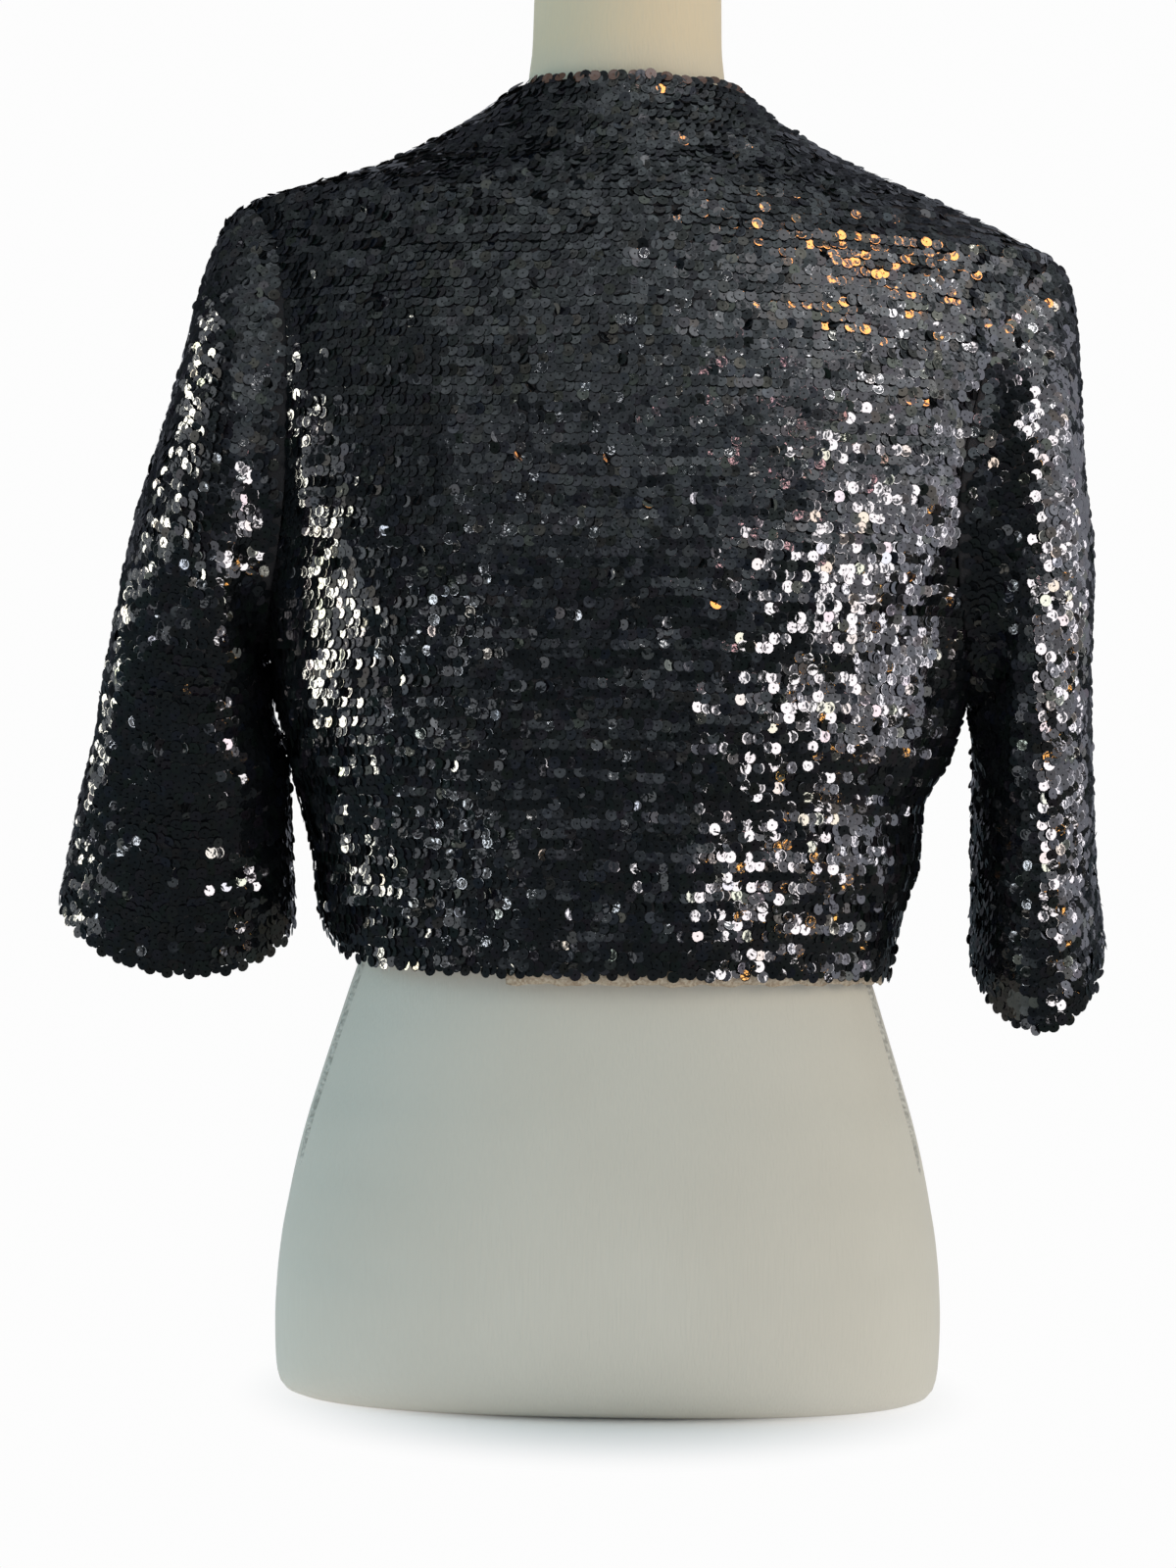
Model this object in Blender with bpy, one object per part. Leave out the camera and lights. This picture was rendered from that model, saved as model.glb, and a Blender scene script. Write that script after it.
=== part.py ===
"""Sequinned bolero jacket worn by a limbless dress form, as separate sewn pieces at real size.

Metres, +Z up, the garment's front towards -Y and the wearer's left towards +X.
The origin is the middle of the form's flat base.
"""

import math

import bpy
import numpy as np

# Cloth and seams
WALL = 0.0025
SEAM_GAP = 0.0004
TOUCH_GAP = 0.0030

# How finely the pieces are divided
BACK_COLUMNS = 22
SIDE_ROWS = 7
ARMHOLE_ROWS = 11
SHOULDER_STEPS = 10
CAP_ROWS = 8
SLEEVE_ROWS = 10
FORM_COLUMNS = 32
FORM_ROWS = 34

# Small steps for slopes, in radians, metres and rings, and the halvings that find an edge
STEP_TURN = 0.01
STEP_HEIGHT = 0.0008
STEP_SLEEVE = 0.02
STEP_SEAM = 0.03
HALVINGS = 40

# Horizontal sections of the outside of the jacket's body, from below the hem to the neck.
# left and right run from the centre line to the side seam or shoulder seam, back and front
# from the line of those seams, and the square columns say how boxy each half of a section is.
BODY_FIELDS = ("height", "left", "right", "back", "front", "back_square", "front_square")
BODY_SECTIONS = (
    (0.180, 0.1440, 0.1420, 0.0890, 0.1090, 2.15, 2.3),
    (0.222, 0.1470, 0.1452, 0.0930, 0.1130, 2.15, 2.3),
    (0.253, 0.1547, 0.1512, 0.0965, 0.1170, 2.20, 2.4),
    (0.279, 0.1580, 0.1592, 0.0990, 0.1200, 2.20, 2.4),
    (0.304, 0.1650, 0.1602, 0.1015, 0.1230, 2.20, 2.5),
    (0.332, 0.1715, 0.1735, 0.1045, 0.1265, 2.25, 2.6),
    (0.362, 0.1785, 0.1815, 0.1070, 0.1300, 2.25, 2.6),
    (0.400, 0.1850, 0.1890, 0.1095, 0.1325, 2.30, 2.6),
    (0.440, 0.1900, 0.1965, 0.1110, 0.1315, 2.30, 2.6),
    (0.490, 0.1950, 0.2060, 0.1095, 0.1215, 2.25, 2.5),
    (0.530, 0.1985, 0.2150, 0.1055, 0.1070, 2.05, 2.3),
    (0.565, 0.2005, 0.2225, 0.0995, 0.0905, 1.80, 2.0),
    (0.592, 0.2015, 0.2255, 0.0925, 0.0770, 1.60, 1.8),
    (0.604, 0.2010, 0.2080, 0.0880, 0.0700, 1.53, 1.70),
    (0.616, 0.1990, 0.1830, 0.0825, 0.0630, 1.50, 1.62),
    (0.627, 0.1700, 0.1580, 0.0765, 0.0572, 1.50, 1.60),
    (0.638, 0.1320, 0.1300, 0.0705, 0.0525, 1.55, 1.60),
    (0.650, 0.1065, 0.1045, 0.0645, 0.0490, 1.62, 1.65),
    (0.662, 0.0838, 0.0828, 0.0592, 0.0465, 1.72, 1.75),
    (0.672, 0.0690, 0.0688, 0.0556, 0.0450, 1.85, 1.85),
    (0.683, 0.0545, 0.0545, 0.0530, 0.0440, 2.00, 2.0),
)

# Edges of the body, for the wearer's left and right
HEM_CENTRE_BACK = 0.2245
HEM_SIDE = {"left": 0.2500, "right": 0.2205}
HEM_RISE_POWER = {"left": 4.5, "right": 3.0}
NECK_CENTRE_BACK = 0.6745
NECK_POINT = 0.679
NECK_RISE_POWER = 2.0
ARMHOLE_BOTTOM = {"left": 0.382, "right": 0.364}
ARMHOLE_TOP = {"left": 0.616, "right": 0.593}
ARMHOLE_TURN_BACK = {"left": 33.0, "right": 36.0}
ARMHOLE_TURN_FRONT = {"left": 38.0, "right": 40.0}

# The open front, which the photograph does not show, with rounded lower corners
FRONT_EDGE = 0.033
FRONT_NECK_HEIGHT = 0.572
FRONT_NECK_HALF_WIDTH = 0.061
FRONT_CORNER_HEIGHT = {"left": 0.325, "right": 0.306}
FRONT_CORNER_START = 0.30
FRONT_CORNER_POWER = 2.6
FRONT_CORNER_STEEPEST = 0.985

# Rings of each sleeve below its cap, from the armhole down to the cuff. out and height place the
# ring's centre, forward is how far it swings to the front, lean lifts its outer side and pitch
# drops its back.
RING_FIELDS = ("out", "height", "forward", "half_width", "half_depth", "lean", "pitch")
SLEEVE_RINGS = {
    "left": (
        (0.2142, 0.4285, 0.000, 0.0619, 0.0680, 61.0, 3.0),
        (0.2211, 0.3755, 0.003, 0.0497, 0.0620, 34.7, 7.0),
        (0.2222, 0.3345, 0.007, 0.0519, 0.0545, 16.7, 10.0),
        (0.2266, 0.2920, 0.013, 0.0572, 0.0470, 8.0, 13.0),
        (0.2305, 0.2485, 0.020, 0.0625, 0.0400, 6.0, 16.0),
    ),
    "right": (
        (0.2150, 0.4110, 0.000, 0.0610, 0.0690, 62.0, 3.0),
        (0.2158, 0.3700, 0.003, 0.0388, 0.0680, 38.9, 7.0),
        (0.2181, 0.3260, 0.007, 0.0345, 0.0670, 30.0, 10.0),
        (0.2203, 0.2820, 0.013, 0.0333, 0.0660, 20.0, 13.0),
        (0.2243, 0.2360, 0.020, 0.0358, 0.0650, 16.0, 16.0),
    ),
}
CUFF = 5.0
CUFF_DIP = 0.020
CUFF_DIP_START = 2.0
CUFF_DIP_ROUNDNESS = 1.5
CAP_REACH_TOP = 0.021
CAP_REACH_SIDE = 0.034
CAP_REACH_BOTTOM = 0.008
CAP_SLOPE_TOP = {"left": 18.0, "right": 28.0}
CAP_SLOPE_BOTTOM = 50.0
CAP_LANDING = 0.42
CAP_CROWDING = 1.15

# Below the underarm a sleeve lies against the body: where that starts and how softly
TOUCH_START = 0.004
TOUCH_FADE = 0.010
TOUCH_EASE = 0.25

# Sections of the dress form, base to neck. centre is how far back the section's middle lies.
FORM_FIELDS = ("height", "half_width", "back", "front", "centre", "square")
FORM_SECTIONS = (
    (0.000, 0.1625, 0.0740, 0.0740, 0.000, 2.4),
    (0.003, 0.1685, 0.0830, 0.0830, 0.000, 2.4),
    (0.010, 0.1714, 0.0915, 0.0900, 0.000, 2.4),
    (0.020, 0.1725, 0.0970, 0.0935, 0.000, 2.4),
    (0.040, 0.1730, 0.1015, 0.0955, 0.000, 2.4),
    (0.060, 0.1722, 0.1032, 0.0960, 0.000, 2.4),
    (0.081, 0.1702, 0.1032, 0.0960, 0.000, 2.35),
    (0.101, 0.1668, 0.1020, 0.0960, 0.000, 2.35),
    (0.122, 0.1627, 0.0995, 0.0958, 0.000, 2.3),
    (0.142, 0.1577, 0.0960, 0.0955, 0.000, 2.3),
    (0.163, 0.1515, 0.0915, 0.0950, 0.000, 2.25),
    (0.184, 0.1450, 0.0865, 0.0935, 0.000, 2.25),
    (0.207, 0.1378, 0.0810, 0.0920, 0.000, 2.2),
    (0.232, 0.1300, 0.0755, 0.0890, 0.000, 2.2),
    (0.262, 0.1245, 0.0725, 0.0875, 0.000, 2.2),
    (0.300, 0.1275, 0.0760, 0.0900, 0.000, 2.2),
    (0.345, 0.1380, 0.0860, 0.0960, 0.000, 2.2),
    (0.400, 0.1480, 0.0965, 0.1010, 0.000, 2.2),
    (0.440, 0.1530, 0.1020, 0.1000, 0.000, 2.2),
    (0.490, 0.1600, 0.1025, 0.0930, 0.000, 2.2),
    (0.540, 0.1700, 0.0960, 0.0810, 0.000, 2.1),
    (0.570, 0.1770, 0.0890, 0.0720, 0.000, 1.95),
    (0.588, 0.1780, 0.0840, 0.0660, 0.000, 1.8),
    (0.600, 0.1730, 0.0795, 0.0610, 0.000, 1.65),
    (0.612, 0.1630, 0.0745, 0.0560, 0.000, 1.55),
    (0.625, 0.1430, 0.0690, 0.0515, 0.000, 1.52),
    (0.638, 0.1155, 0.0630, 0.0475, 0.000, 1.55),
    (0.650, 0.0925, 0.0575, 0.0440, 0.000, 1.62),
    (0.662, 0.0740, 0.0530, 0.0415, 0.000, 1.72),
    (0.671, 0.0598, 0.0502, 0.0405, 0.000, 1.85),
    (0.680, 0.0520, 0.0488, 0.0415, -0.002, 2.0),
    (0.690, 0.0508, 0.0485, 0.0430, -0.004, 2.0),
    (0.701, 0.0497, 0.0490, 0.0445, -0.006, 2.0),
    (0.728, 0.0492, 0.0500, 0.0470, -0.010, 2.0),
    (0.745, 0.0488, 0.0495, 0.0470, -0.012, 2.0),
    (0.752, 0.0465, 0.0470, 0.0445, -0.013, 2.0),
    (0.755, 0.0425, 0.0430, 0.0405, -0.013, 2.0),
)
BUST_HEIGHT = 0.418
BUST_APART = 0.079
BUST_RISE = 0.0285
BUST_SPREAD_ACROSS = 0.046
BUST_SPREAD_UP = 0.058
BUST_BELOW = 0.80
BUST_ABOVE = 1.15
BUST_FRONT = 3.0

SEQUIN_BLACK = (0.012, 0.012, 0.014)
SEQUIN_ROUGHNESS = 0.35
SEQUIN_METALLIC = 0.2
FORM_CREAM = (0.62, 0.60, 0.52)
FORM_ROUGHNESS = 0.7
SHARP_EDGE = 50.0
SIDES = ("left", "right")
SIGN = {"left": 1.0, "right": -1.0}


def columns_of(rows, names):
    """The columns of a table, by name."""
    return {name: np.array([row[i] for row in rows], float) for i, name in enumerate(names)}


def smooth(places, values, at):
    """A smooth curve through a column of a table that never overshoots its rows."""
    step = np.diff(places)
    slope = np.diff(values) / step
    bend = np.zeros(len(values))
    rising = slope[:-1] * slope[1:] > 0
    near = 2 * step[1:] + step[:-1]
    far = step[1:] + 2 * step[:-1]
    safe_before = np.where(rising, slope[:-1], 1.0)
    safe_after = np.where(rising, slope[1:], 1.0)
    bend[1:-1] = np.where(rising, (near + far) / (near / safe_before + far / safe_after), 0.0)
    bend[0], bend[-1] = slope[0], slope[-1]
    at = np.clip(at, places[0], places[-1])
    i = np.clip(np.searchsorted(places, at, side="right") - 1, 0, len(step) - 1)
    s = (at - places[i]) / step[i]
    return (
        values[i] * (1 + 2 * s) * (1 - s) ** 2
        + values[i + 1] * s * s * (3 - 2 * s)
        + step[i] * bend[i] * s * (1 - s) ** 2
        - step[i] * bend[i + 1] * s * s * (1 - s)
    )


BODY = columns_of(BODY_SECTIONS, BODY_FIELDS)
FORM = columns_of(FORM_SECTIONS, FORM_FIELDS)
RINGS = {side: columns_of(SLEEVE_RINGS[side], RING_FIELDS) for side in SIDES}


def body_radius(angle, height):
    """How far the outside of the jacket's body is from its axis, in a direction and at a height."""
    at = {name: smooth(BODY["height"], BODY[name], height) for name in BODY_FIELDS[1:]}
    width = np.where(np.sin(angle) >= 0, at["left"], at["right"])
    behind = np.cos(angle) >= 0
    depth = np.where(behind, at["back"], at["front"])
    square = np.where(behind, at["back_square"], at["front_square"])
    across = np.abs(np.sin(angle)) / width
    along = np.abs(np.cos(angle)) / depth
    return (across**square + along**square) ** (-1 / square)


def body(turn, height):
    """Outside of the jacket's body. turn is 0 at centre back, a quarter turn at the wearer's left
    side and shoulder seams, minus a quarter turn at the right ones and a half turn at the front."""
    at = {name: smooth(BODY["height"], BODY[name], height) for name in BODY_FIELDS[1:5]}
    width = np.where(np.sin(turn) >= 0, at["left"], at["right"])
    depth = np.where(np.cos(turn) >= 0, at["back"], at["front"])
    angle = np.arctan2(width * np.sin(turn), depth * np.cos(turn))
    radius = body_radius(angle, height)
    return np.stack([radius * np.sin(angle), radius * np.cos(angle), height + 0 * angle], axis=-1)


def unit(vectors):
    return vectors / np.maximum(np.linalg.norm(vectors, axis=-1, keepdims=True), 1e-12)


def normal_of(surface, u, v, du, dv):
    """The unit normal of a surface of two parameters."""
    across = surface(u + du, v) - surface(u - du, v)
    up = surface(u, v + dv) - surface(u, v - dv)
    return unit(np.cross(up, across))


def body_normal(turn, height):
    return normal_of(body, turn, height, STEP_TURN, STEP_HEIGHT)


def armhole(side, around):
    """Turn and height of the armhole seam. around is 0 at the shoulder, a quarter turn at the
    back, a half turn at the underarm and three quarters at the front."""
    middle = (ARMHOLE_TOP[side] + ARMHOLE_BOTTOM[side]) / 2
    reach = (ARMHOLE_TOP[side] - ARMHOLE_BOTTOM[side]) / 2
    back, front = math.radians(ARMHOLE_TURN_BACK[side]), math.radians(ARMHOLE_TURN_FRONT[side])
    inset = np.where(np.sin(around) >= 0, back, front)
    turn = SIGN[side] * (math.pi / 2 - inset * np.sin(around))
    return turn, middle + reach * np.cos(around)


def ring(side, around, number):
    """A point of the sleeve on its ring of that number, which may lie between two rings."""
    places = np.arange(1.0, len(SLEEVE_RINGS[side]) + 1)
    at = {name: smooth(places, RINGS[side][name], number) for name in RING_FIELDS}
    lean, pitch = np.radians(at["lean"]), np.radians(at["pitch"])
    wide = at["half_width"] * np.cos(around)
    deep = at["half_depth"] * np.sin(around)
    hang = np.clip((number - CUFF_DIP_START) / (CUFF - CUFF_DIP_START), 0, 1) ** 2
    low = hang * CUFF_DIP * np.maximum(np.sin(around), 0) ** CUFF_DIP_ROUNDNESS
    return np.stack(
        [
            SIGN[side] * (at["out"] + wide * np.cos(lean)),
            deep * np.cos(pitch) - at["forward"],
            at["height"] + wide * np.sin(lean) - deep * np.sin(pitch) - low,
        ],
        axis=-1,
    )


def cap(side, around, share):
    """The sleeve's cap, from the armhole seam at share 0 to the first ring at share 1."""
    start = body(*armhole(side, around))
    end = ring(side, around, 1.0 + 0 * around)
    upper = np.maximum(np.cos(around), 0) ** 2
    lower = np.maximum(-np.cos(around), 0) ** 2
    reach = CAP_REACH_TOP * upper + CAP_REACH_BOTTOM * lower + CAP_REACH_SIDE * np.sin(around) ** 2
    slope = np.radians(CAP_SLOPE_TOP[side] + (CAP_SLOPE_BOTTOM - CAP_SLOPE_TOP[side]) * lower)
    leave = np.stack([SIGN[side] * np.cos(slope), 0 * slope, -np.sin(slope)], axis=-1)
    land = unit(ring(side, around, 1 + STEP_SLEEVE + 0 * around) - end)
    span = np.linalg.norm(end - start, axis=-1)[..., None]
    first = start + leave * reach[..., None]
    last = end - land * span * CAP_LANDING
    s = share[..., None]
    return (1 - s) ** 3 * start + 3 * s * (1 - s) ** 2 * first + 3 * s * s * (1 - s) * last + s**3 * end


def clear_of_body(points, side, share):
    """Cloth of a sleeve that would meet the body is laid against it, just clear."""
    x, y, z = points[..., 0], points[..., 1], points[..., 2]
    angle = np.arctan2(x, y)
    radius = np.hypot(x, y)
    gap = TOUCH_GAP * np.clip(share / TOUCH_EASE, 0, 1)
    below = np.clip((ARMHOLE_BOTTOM[side] + TOUCH_START - z) / TOUCH_FADE, 0, 1)
    least = (body_radius(angle, z) + gap) * below
    radius = np.maximum(radius, least)
    return np.stack([radius * np.sin(angle), radius * np.cos(angle), z], axis=-1)


def sleeve(side, around, along):
    """Outside of a sleeve. along is 0 at the armhole seam, 1 at the first ring and CUFF at the last."""
    around, along = np.broadcast_arrays(np.asarray(around, float), np.asarray(along, float))
    in_cap = cap(side, around, np.clip(along, 0, 1))
    in_tube = ring(side, around, np.clip(along, 1, None))
    points = np.where((along < 1)[..., None], in_cap, in_tube)
    return clear_of_body(points, side, np.clip(along, 0, 1))


def sleeve_normal(side, around, along):
    def surface(u, v):
        return sleeve(side, u, np.clip(v, 0, CUFF))

    return SIGN[side] * normal_of(surface, around, along, STEP_SLEEVE, STEP_SLEEVE)


def seam_inward(side, around):
    """Where the wall goes at the armhole seam: midway between the body's and the sleeve's."""
    turn, height = armhole(side, around)
    towards = -body_normal(turn, height) - sleeve_normal(side, around, np.full_like(around, STEP_SEAM))
    return unit(towards)


def shares(values):
    return (values - values[0]) / (values[-1] - values[0])


def side_heights(side):
    """Heights of a panel's rows down its side: along the side seam and then the armhole."""
    low = np.linspace(HEM_SIDE[side], ARMHOLE_BOTTOM[side], SIDE_ROWS + 1)
    arm = armhole(side, np.linspace(math.pi, 0, ARMHOLE_ROWS + 1))[1]
    return np.concatenate([low[:-1], arm])


def side_turns(side, back):
    """How far round the side of a panel lies at each row: a quarter turn less the armhole."""
    around = np.linspace(math.pi, 0, ARMHOLE_ROWS + 1)
    arm = np.abs(armhole(side, around if back else -around)[0])
    return np.concatenate([np.full(SIDE_ROWS, math.pi / 2), arm])


def shoulder_spacing():
    """Shares along the shoulder seam, closer together towards the neck."""
    return np.sin(np.linspace(0, 1, SHOULDER_STEPS + 1) * math.pi / 2)


def shoulder_heights(side):
    return ARMHOLE_TOP[side] + (NECK_POINT - ARMHOLE_TOP[side]) * shoulder_spacing()


def back_grid():
    """Turn and height of every point of the back, rows from the hem up, from right to left."""
    u = np.linspace(-1, 1, BACK_COLUMNS + 1)
    rise = {side: HEM_SIDE[side] - HEM_CENTRE_BACK for side in SIDES}
    hem = HEM_CENTRE_BACK + np.where(
        u > 0,
        rise["left"] * np.abs(u) ** HEM_RISE_POWER["left"],
        rise["right"] * np.abs(u) ** HEM_RISE_POWER["right"],
    )
    neck = NECK_CENTRE_BACK + (NECK_POINT - NECK_CENTRE_BACK) * np.abs(u) ** NECK_RISE_POWER
    heights = {side: np.concatenate([side_heights(side), shoulder_heights(side)[1:]]) for side in SIDES}
    quarter = np.full(SHOULDER_STEPS, math.pi / 2)
    turns = {side: np.concatenate([side_turns(side, True), quarter]) for side in SIDES}
    mix = (1 + u) / 2
    share = shares(heights["right"])[:, None] * (1 - mix) + shares(heights["left"])[:, None] * mix
    height = hem + (neck - hem) * share
    reach = np.where(u >= 0, turns["left"][:, None], turns["right"][:, None])
    return u * reach, height


def front_edge_turn(side, height):
    """How far round the open front's edge or the neckline lies at a height, found by halving."""
    rise = np.clip((height - FRONT_NECK_HEIGHT) / (NECK_POINT - FRONT_NECK_HEIGHT), 0, 1)
    wanted = FRONT_EDGE + (FRONT_NECK_HALF_WIDTH - FRONT_EDGE) * np.sqrt(1 - (1 - rise) ** 2)
    low = np.full_like(height, math.pi / 2)
    high = np.full_like(height, math.pi)
    for _ in range(HALVINGS):
        middle = (low + high) / 2
        outside = np.abs(body(SIGN[side] * middle, height)[..., 0]) > wanted
        low, high = np.where(outside, middle, low), np.where(outside, high, middle)
    return (low + high) / 2


def front_grid(side):
    """Turn and height of every point of a front, rows from the hem up, from the side inwards.
    The points are blended from its four edges: hem, shoulder seam, side with armhole and front
    edge with neckline."""
    u = shoulder_spacing()
    v = shares(side_heights(side))
    curve = np.clip((u - FRONT_CORNER_START) / (1 - FRONT_CORNER_START), 0, 1)
    curve = curve * FRONT_CORNER_STEEPEST
    corner = 1 - np.sqrt(1 - curve**FRONT_CORNER_POWER)
    corner_turn = front_edge_turn(side, np.array([FRONT_CORNER_HEIGHT[side]]))[0]
    quarter = math.pi / 2
    hem_turn = quarter + (corner_turn - quarter) * u
    hem = HEM_SIDE[side] + (FRONT_CORNER_HEIGHT[side] - HEM_SIDE[side]) * corner / corner[-1]
    edge = FRONT_CORNER_HEIGHT[side] + (NECK_POINT - FRONT_CORNER_HEIGHT[side]) * v
    edge_turn = front_edge_turn(side, edge)
    turn = blended(hem_turn, np.full_like(u, quarter), side_turns(side, False), edge_turn, u, v)
    height = blended(hem, shoulder_heights(side), side_heights(side), edge, u, v)
    return SIGN[side] * turn, height


def blended(bottom, top, start, end, u, v):
    """Values all over a patch from those along its four edges."""
    u, v = u[None, :], v[:, None]
    rows = (1 - v) * bottom + v * top
    columns = (1 - u) * start[:, None] + u * end[:, None]
    corners = (1 - v) * ((1 - u) * start[0] + u * end[0]) + v * ((1 - u) * start[-1] + u * end[-1])
    return rows + columns - corners


def pulled_in(outer, inner, row_ends, column_ends):
    """Both faces of a panel with its sewn edges drawn back by half a seam gap."""
    out = []
    for grid in (outer, inner):
        moved = grid.copy()
        for end, next_to in column_ends:
            moved[:, end] += unit(grid[:, next_to] - grid[:, end]) * SEAM_GAP / 2
        for end, next_to in row_ends:
            moved[end] += unit(grid[next_to] - grid[end]) * SEAM_GAP / 2
        out.append(moved)
    return out


def material(name, colour, roughness, metallic):
    made = bpy.data.materials.new(name)
    made.use_nodes = True
    shader = made.node_tree.nodes["Principled BSDF"]
    shader.inputs["Base Color"].default_value = (*colour, 1)
    shader.inputs["Roughness"].default_value = roughness
    shader.inputs["Metallic"].default_value = metallic
    return made


def add_object(name, points, faces, finish, collection):
    mesh = bpy.data.meshes.new(name)
    mesh.from_pydata([tuple(p) for p in points], [], faces)
    mesh.materials.append(finish)
    mesh.shade_smooth()
    mesh.set_sharp_from_angle(angle=math.radians(SHARP_EDGE))
    obj = bpy.data.objects.new(name, mesh)
    collection.objects.link(obj)
    return obj


def add_wall(name, outer, inner, flip, finish, collection):
    """A panel as one closed wall: its outer face, its inner face and the rim between them."""
    rows, columns = outer.shape[:2]
    count = rows * columns
    faces = []

    def at(i, j, layer):
        return layer * count + i * columns + j

    for i in range(rows - 1):
        for j in range(columns - 1):
            faces.append((at(i, j, 0), at(i, j + 1, 0), at(i + 1, j + 1, 0), at(i + 1, j, 0)))
            faces.append((at(i, j, 1), at(i + 1, j, 1), at(i + 1, j + 1, 1), at(i, j + 1, 1)))
    rim = [(0, j) for j in range(columns)]
    rim += [(i, columns - 1) for i in range(1, rows)]
    rim += [(rows - 1, j) for j in range(columns - 2, -1, -1)]
    rim += [(i, 0) for i in range(rows - 2, 0, -1)]
    for (i, j), (k, m) in zip(rim, rim[1:] + rim[:1]):
        faces.append((at(i, j, 1), at(k, m, 1), at(k, m, 0), at(i, j, 0)))
    if flip:
        faces = [face[::-1] for face in faces]
    points = np.concatenate([outer.reshape(-1, 3), inner.reshape(-1, 3)])
    return add_object(name, points, faces, finish, collection)


def add_tube(name, outer, inner, flip, finish, collection):
    """A sleeve as one closed wall round an open hollow, rows from the armhole to the cuff."""
    rows, columns = outer.shape[:2]
    count = rows * columns
    faces = []

    def at(i, j, layer):
        return layer * count + i * columns + j % columns

    for i in range(rows - 1):
        for j in range(columns):
            faces.append((at(i, j, 0), at(i, j + 1, 0), at(i + 1, j + 1, 0), at(i + 1, j, 0)))
            faces.append((at(i, j, 1), at(i + 1, j, 1), at(i + 1, j + 1, 1), at(i, j + 1, 1)))
    for j in range(columns):
        last = rows - 1
        faces.append((at(0, j, 1), at(0, j + 1, 1), at(0, j + 1, 0), at(0, j, 0)))
        faces.append((at(last, j, 0), at(last, j + 1, 0), at(last, j + 1, 1), at(last, j, 1)))
    if flip:
        faces = [face[::-1] for face in faces]
    points = np.concatenate([outer.reshape(-1, 3), inner.reshape(-1, 3)])
    return add_object(name, points, faces, finish, collection)


def set_armhole_rim(inner, outer, side, column, back):
    """Gives a panel's armhole edge the wall direction that it shares with the sleeve."""
    around = np.linspace(math.pi, 0, ARMHOLE_ROWS + 1) * (1 if back else -1)
    rows = slice(SIDE_ROWS, SIDE_ROWS + ARMHOLE_ROWS + 1)
    inner[rows, column] = outer[rows, column] + WALL * seam_inward(side, around)


def add_back(finish, collection):
    turn, height = back_grid()
    outer = body(turn, height)
    inner = outer - WALL * body_normal(turn, height)
    set_armhole_rim(inner, outer, "right", 0, True)
    set_armhole_rim(inner, outer, "left", BACK_COLUMNS, True)
    sewn = [(0, 1), (BACK_COLUMNS, BACK_COLUMNS - 1)]
    outer, inner = pulled_in(outer, inner, [], sewn)
    return add_wall("back", outer, inner, True, finish, collection)


def add_front(side, finish, collection):
    turn, height = front_grid(side)
    outer = body(turn, height)
    inner = outer - WALL * body_normal(turn, height)
    set_armhole_rim(inner, outer, side, 0, False)
    outer, inner = pulled_in(outer, inner, [(-1, -2)], [(0, 1)])
    return add_wall(f"{side}_front", outer, inner, side == "left", finish, collection)


def add_sleeve(side, finish, collection):
    around = np.linspace(0, 2 * math.pi, 2 * ARMHOLE_ROWS + 1)[:-1]
    in_cap = np.linspace(0, 1, CAP_ROWS + 1) ** CAP_CROWDING
    along = np.concatenate([in_cap, np.linspace(1, CUFF, SLEEVE_ROWS + 1)[1:]])
    grid_around, grid_along = np.meshgrid(around, along)
    outer = sleeve(side, grid_around, grid_along)
    inner = outer - WALL * sleeve_normal(side, grid_around, grid_along)
    inner[0] = outer[0] + WALL * seam_inward(side, around)
    outer, inner = pulled_in(outer, inner, [(0, 1)], [])
    return add_tube(f"{side}_sleeve", outer, inner, side == "left", finish, collection)


def form_point(turn, height):
    """Outside of the dress form, with a plain rounded bust in front."""
    at = {name: smooth(FORM["height"], FORM[name], height) for name in FORM_FIELDS[1:]}
    depth = np.where(np.cos(turn) >= 0, at["back"], at["front"])
    angle = np.arctan2(at["half_width"] * np.sin(turn), depth * np.cos(turn))
    across, along = np.abs(np.sin(angle)) / at["half_width"], np.abs(np.cos(angle)) / depth
    radius = (across ** at["square"] + along ** at["square"]) ** (-1 / at["square"])
    x, y = radius * np.sin(angle), radius * np.cos(angle) + at["centre"]
    spread = BUST_SPREAD_UP * np.where(height < BUST_HEIGHT, BUST_BELOW, BUST_ABOVE)
    rise = (height - BUST_HEIGHT) / spread
    bust = BUST_RISE * np.exp(-(rise**2) - ((np.abs(x) - BUST_APART) / BUST_SPREAD_ACROSS) ** 2)
    y = y - bust * np.clip(-np.cos(turn) * BUST_FRONT, 0, 1)
    return np.stack([x, y, height + 0 * x], axis=-1)


def add_form(finish, collection):
    """The dress form as one solid, flat under its base and on top of its neck."""
    places = FORM["height"]
    width = FORM["half_width"]
    travel = np.concatenate([[0], np.cumsum(np.hypot(np.diff(places), np.diff(width)))])
    height = np.interp(np.linspace(0, travel[-1], FORM_ROWS + 1), travel, places)
    turn = np.linspace(0, 2 * math.pi, FORM_COLUMNS + 1)[:-1]
    points = form_point(*np.meshgrid(turn, height))
    rows, columns = points.shape[:2]
    faces = []
    for i in range(rows - 1):
        for j in range(columns):
            k = (j + 1) % columns
            faces.append((i * columns + k, i * columns + j, (i + 1) * columns + j, (i + 1) * columns + k))
    faces.append(tuple(range(columns)))
    faces.append(tuple(reversed(range((rows - 1) * columns, rows * columns))))
    return add_object("dress_form", points.reshape(-1, 3), faces, finish, collection)


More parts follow.
